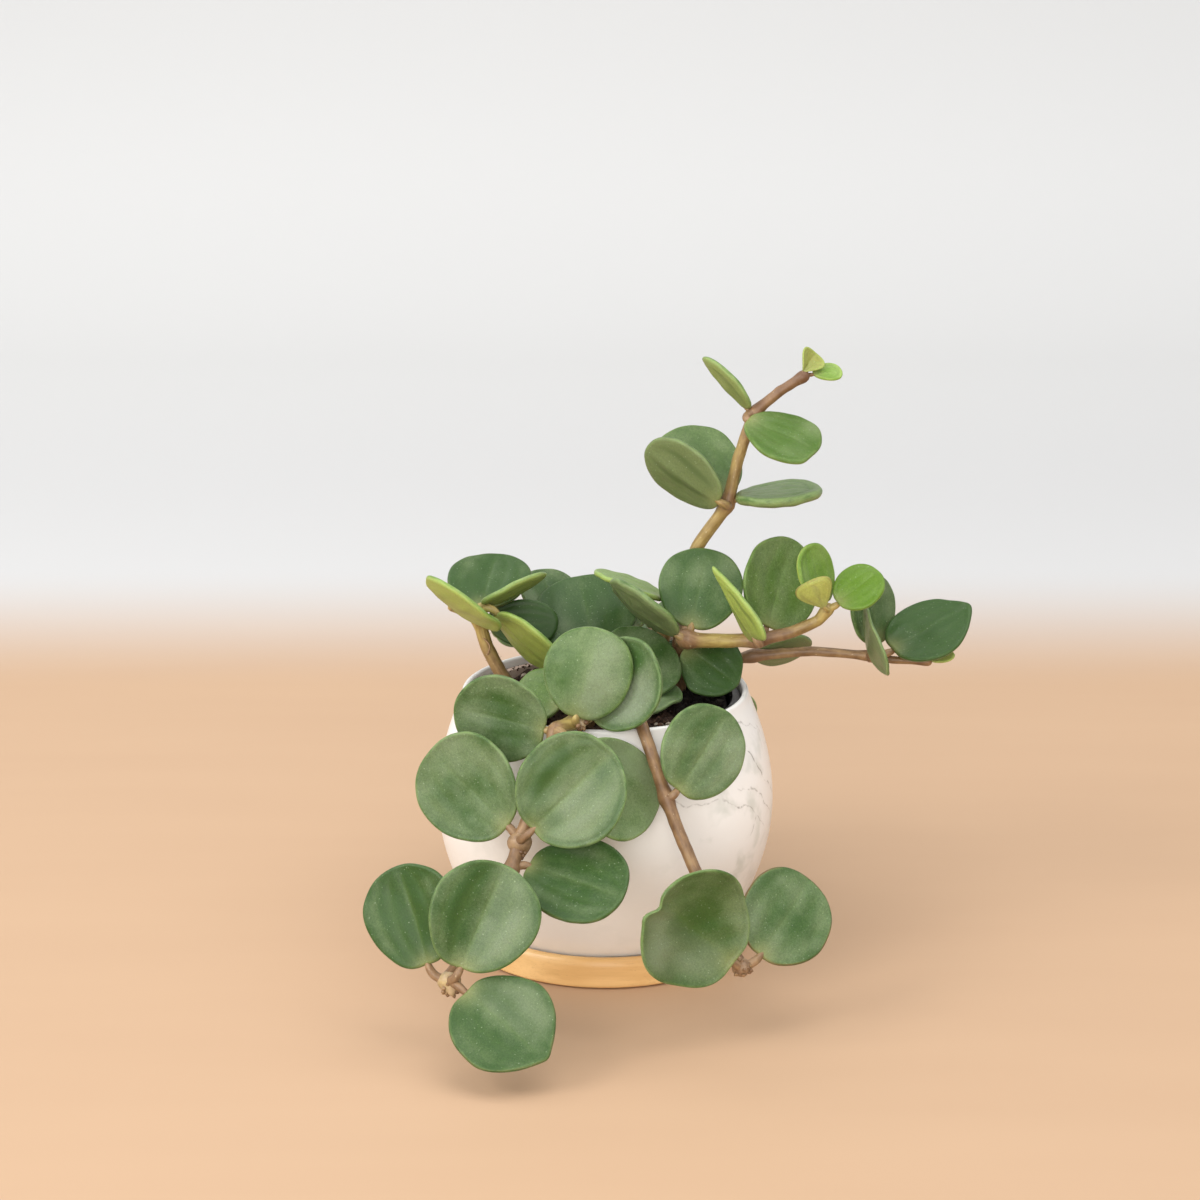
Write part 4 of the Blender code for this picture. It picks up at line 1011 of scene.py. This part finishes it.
def glaze_finish():
    """White glaze over marbled clay, with soil stains inside the rim.

    Its veins are listed one by one, and finer ones round the back come from noise.
    """
    look = Finish("marbled_glaze", Roughness=0.3, Specular_IOR_Level=0.5,
                  Coat_Weight=0.25, Coat_Roughness=0.12)
    place = look.millimetres()
    wander = look.node("ShaderNodeTexNoise", None, {"Vector": place, "Scale": 0.16, "Detail": 3.0}, "Color")
    wander = look.stretched(look.vector("SUBTRACT", wander, (0.5, 0.5, 0.5)), (5, 5, 5))
    bent = look.vector("ADD", place, wander)
    x, y, height = look.axes(bent)
    across = look.maths("ARCTAN2", x, -y) * (ARC * 180 / PI)
    broken = look.noise(place, 0.7)
    veins = 0.0
    for start, start_height, end, end_height, width, dark in VEINS:
        start, end = start * ARC, end * ARC
        length = float(np.hypot(end - start, end_height - start_height))
        slope_x, slope_y = (end - start) / length, (end_height - start_height) / length
        run = (across - start) * slope_x + (height - start_height) * slope_y
        aside = abs((across - start) * slope_y - (height - start_height) * slope_x)
        line = (width - aside).rise(0, width) * run.rise(-0.3, 0.6) * (length - run).rise(-0.3, 0.6)
        haze = (5 * width - aside).rise(0, 7 * width) * run.rise(0, 2) * (length - run).rise(0, 2)
        veins = (line * dark + haze * 0.25 * dark).larger(veins)
    drift = look.noise(bent, 0.045, 2.0, 0.5, 0.2)
    back = abs(across).rise(50, 75)
    thread = (0.006 - abs(drift - 0.5)).rise(0, 0.006) * back * look.noise(place, 0.06, 1.0).rise(0.48, 0.6)
    veins = (veins * broken.rise(0.3, 0.6)).larger(thread * 0.6)
    cloud = look.noise(place, 0.05, 2.0)
    smudge = look.noise(bent, 0.11).rise(0.5, 0.72) * (0.2 + across.rise(8, 24) * 0.5)
    radius = look.vector("LENGTH", look.stretched(place, (1, 1, 0)), output="Value")
    stained = (STAIN_RADIUS - radius).rise(0, 0.7) * (height - STAIN_BOTTOM).rise(0, 1)
    stain = stained * broken.rise(0.2, 0.6)
    look.shade("Base Color", look.over(
        look.mix((0.80, 0.785, 0.76), (0.86, 0.85, 0.83), cloud), ((0.56, 0.58, 0.53), smudge),
        ((0.26, 0.24, 0.215), veins * 0.9), ((0.42, 0.31, 0.23), stain * 0.7)))
    look.shade("Roughness", 0.24 + cloud * 0.16)
    look.emboss(look.noise(place, 0.35, 2.0), 0.00025, 0.35)
    return look.material


def wood_finish():
    """Light tan turned wood under satin oil: long grain lines across the dish, with short pores."""
    look = Finish("turned_wood", Roughness=0.4, Specular_IOR_Level=0.45,
                  Coat_Weight=0.2, Coat_Roughness=0.25)
    place = look.millimetres()
    bands = look.noise(look.stretched(place, (0.03, 0.35, 0.6)), 0.4, 3.0, 0.5, 0.3)
    lines = look.noise(look.stretched(place, (0.05, 1.6, 2.4)), 1.1, 4.0, 0.65)
    pores = look.noise(look.stretched(place, (0.2, 3.0, 3.0)), 1.5, 2.0, 0.5)
    look.shade("Base Color", look.over(
        look.mix((0.64, 0.37, 0.135), (0.84, 0.55, 0.24), bands.rise(0.3, 0.7)),
        ((0.5, 0.26, 0.09), lines.rise(0.5, 0.78) * 0.4),
        ((0.38, 0.19, 0.075), pores.rise(0.66, 0.76) * 0.4)))
    look.shade("Roughness", 0.34 + lines * 0.14)
    look.emboss(lines * 0.6 - pores.rise(0.62, 0.72) * 0.5, 0.0001, 0.4)
    return look.material


def plastic_finish():
    """Black plastic with a fine moulded grain, under dried tan soil dust towards the back left."""
    look = Finish("black_plastic", Roughness=0.45, Specular_IOR_Level=0.5)
    place = look.millimetres()
    x, y, _ = look.axes(place)
    film = look.noise(place, 0.5, 4.0)
    dust = (film + (y - x) * 0.02).rise(0.35, 0.8)
    clean = look.mix((0.008, 0.008, 0.009), (0.03, 0.025, 0.02), film.rise(0.5, 0.75))
    dry = look.mix((0.5, 0.36, 0.28), (0.72, 0.57, 0.47), look.noise(place, 2.0))
    look.shade("Base Color", look.mix(clean, dry, dust * 0.85))
    look.shade("Roughness", 0.35 + dust * 0.4)
    look.emboss(look.noise(place, 5.0, 2.0), 0.00006, 0.5)
    return look.material


def soil_finish():
    """Damp peat mix: dark brown crumbs with reddish fibres and a few pale grains, with painted shade that
    turns it near-black towards the right.
    """
    look = Finish("peat_soil", Roughness=0.9, Specular_IOR_Level=0.25)
    place = look.millimetres()
    lump = look.mark("youth")
    clods = look.noise(place, 0.8, 4.0, 0.65)
    grit = look.noise(place, 3.5, 3.0, 0.7)
    pale = (0.1 - look.cells(place, 0.42)).rise(0, 0.05) * lump.rise(0.1, 0.4)
    look.shade("Base Color", look.over(
        look.mix((0.018, 0.01, 0.006), (0.085, 0.042, 0.024),
                 (clods * 0.7 + grit * 0.5 + lump * 0.3).rise(0.4, 0.95)),
        ((0.16, 0.08, 0.045), grit.rise(0.6, 0.75) * 0.6),
        ((0.42, 0.36, 0.28), pale + lump.rise(0.93, 0.95) * 0.8),
        # Painted shade: the soil turns near-black towards its right side.
        ((0.006, 0.0055, 0.005), (look.axes(place)[0] + clods * 4).rise(15, 19) * 0.85)))
    look.emboss(grit + clods, 0.0006, 0.9)
    return look.material


def stage_finish():
    """A warm floor that turns into a near-white backdrop, and is darker round the foot of the low front
    lamp, as painted shade.
    """
    look = Finish("pale_stage", Roughness=0.6, Specular_IOR_Level=0.25)
    place = look.place()
    depth = look.axes(place)[1]
    shade = look.noise(look.stretched(place, (3, 18, 3)), 2.0, 2.0)
    from_lamp = look.vector("DISTANCE", place, (*FILL_PLACE[:2], 0), output="Value")
    # Painted shade on the floor round the front lamp's foot.
    painted_shade_near_lamp = (DARK_REACH - from_lamp).rise(0.25, 1.08) * (depth - DARK_FRONT).rise(0, 0.03)
    floor = look.over(look.mix((0.47, 0.31, 0.195), (0.5, 0.335, 0.212), shade),
                      ((0.11, 0.075, 0.05), painted_shade_near_lamp))
    backdrop = look.over((0.55, 0.55, 0.55), ((0.615, 0.615, 0.61), depth.rise(0.4, 0.75)),
                         ((0.565, 0.565, 0.56), depth.rise(0.9, 1.12)))
    look.shade("Base Color", look.mix(floor, backdrop, depth.rise(0.19, 0.33)))
    return look.material


def placed(name, data):
    """An object of a mesh, a lamp or a camera, in the scene."""
    made = bpy.data.objects.new(name, data)
    bpy.context.scene.collection.objects.link(made)
    return made


def stage(finish):
    """A floor that sweeps up into a backdrop: a level stretch, a quarter circle and an upright one."""
    bend = np.linspace(-PI / 2, 0, 25)
    sweep = np.stack([FLOOR_BACK + SWEEP * np.cos(bend), SWEEP + SWEEP * np.sin(bend)], axis=-1)
    path = np.concatenate([[(FLOOR_FRONT, 0)], sweep, [(FLOOR_BACK + SWEEP, BACKDROP_TOP)]])
    points = [(x, y, z) for y, z in path.tolist() for x in (-STAGE_HALF_WIDTH, STAGE_HALF_WIDTH)]
    faces = [(k, k + 1, k + 3, k + 2) for k in range(0, 2 * len(path) - 2, 2)]
    mesh = bpy.data.meshes.new("sweep")
    mesh.from_pydata(points, [], faces)
    mesh.shade_smooth()
    mesh.materials.append(finish)
    placed("sweep", mesh)


def lights():
    """The lamps of LAMPS and a pale room."""
    for name, (place, aim, size, power, colour) in LAMPS.items():
        lamp = bpy.data.lights.new(name, "AREA")
        lamp.shape = "SQUARE"
        lamp.size = size
        lamp.energy = power
        lamp.color = colour
        made = placed(name, lamp)
        made.location = place
        made.rotation_euler = (Vector(aim) - Vector(place)).to_track_quat("-Z", "Y").to_euler()
    world = bpy.data.worlds.new("pale_room")
    world.use_nodes = True
    room = world.node_tree.nodes["Background"].inputs
    room["Color"].default_value = (*ROOM_COLOUR, 1)
    room["Strength"].default_value = ROOM_STRENGTH
    bpy.context.scene.world = world
    bpy.context.scene.view_settings.view_transform = "Standard"


def camera():
    """The photograph's camera."""
    lens = bpy.data.cameras.new("photo_view")
    lens.sensor_width = SENSOR
    lens.lens = LENS
    lens.clip_start = 0.01
    made = placed("photo_view", lens)
    made.location = CAMERA_PLACE
    made.rotation_euler = (radians(90 - CAMERA_DIP), 0, 0)
    bpy.context.scene.camera = made


camera()
lights()
stage(stage_finish())
wooden_saucer(wood_finish())
glazed_pot(glaze_finish())
plastic_liner(plastic_finish())
soil(soil_finish())
leaf_and_bark = [leaf_finish(), bark_finish()]
for shoot_number, each_shoot in enumerate(SHOOTS):
    leafy_shoot(each_shoot, shoot_number, leaf_and_bark)
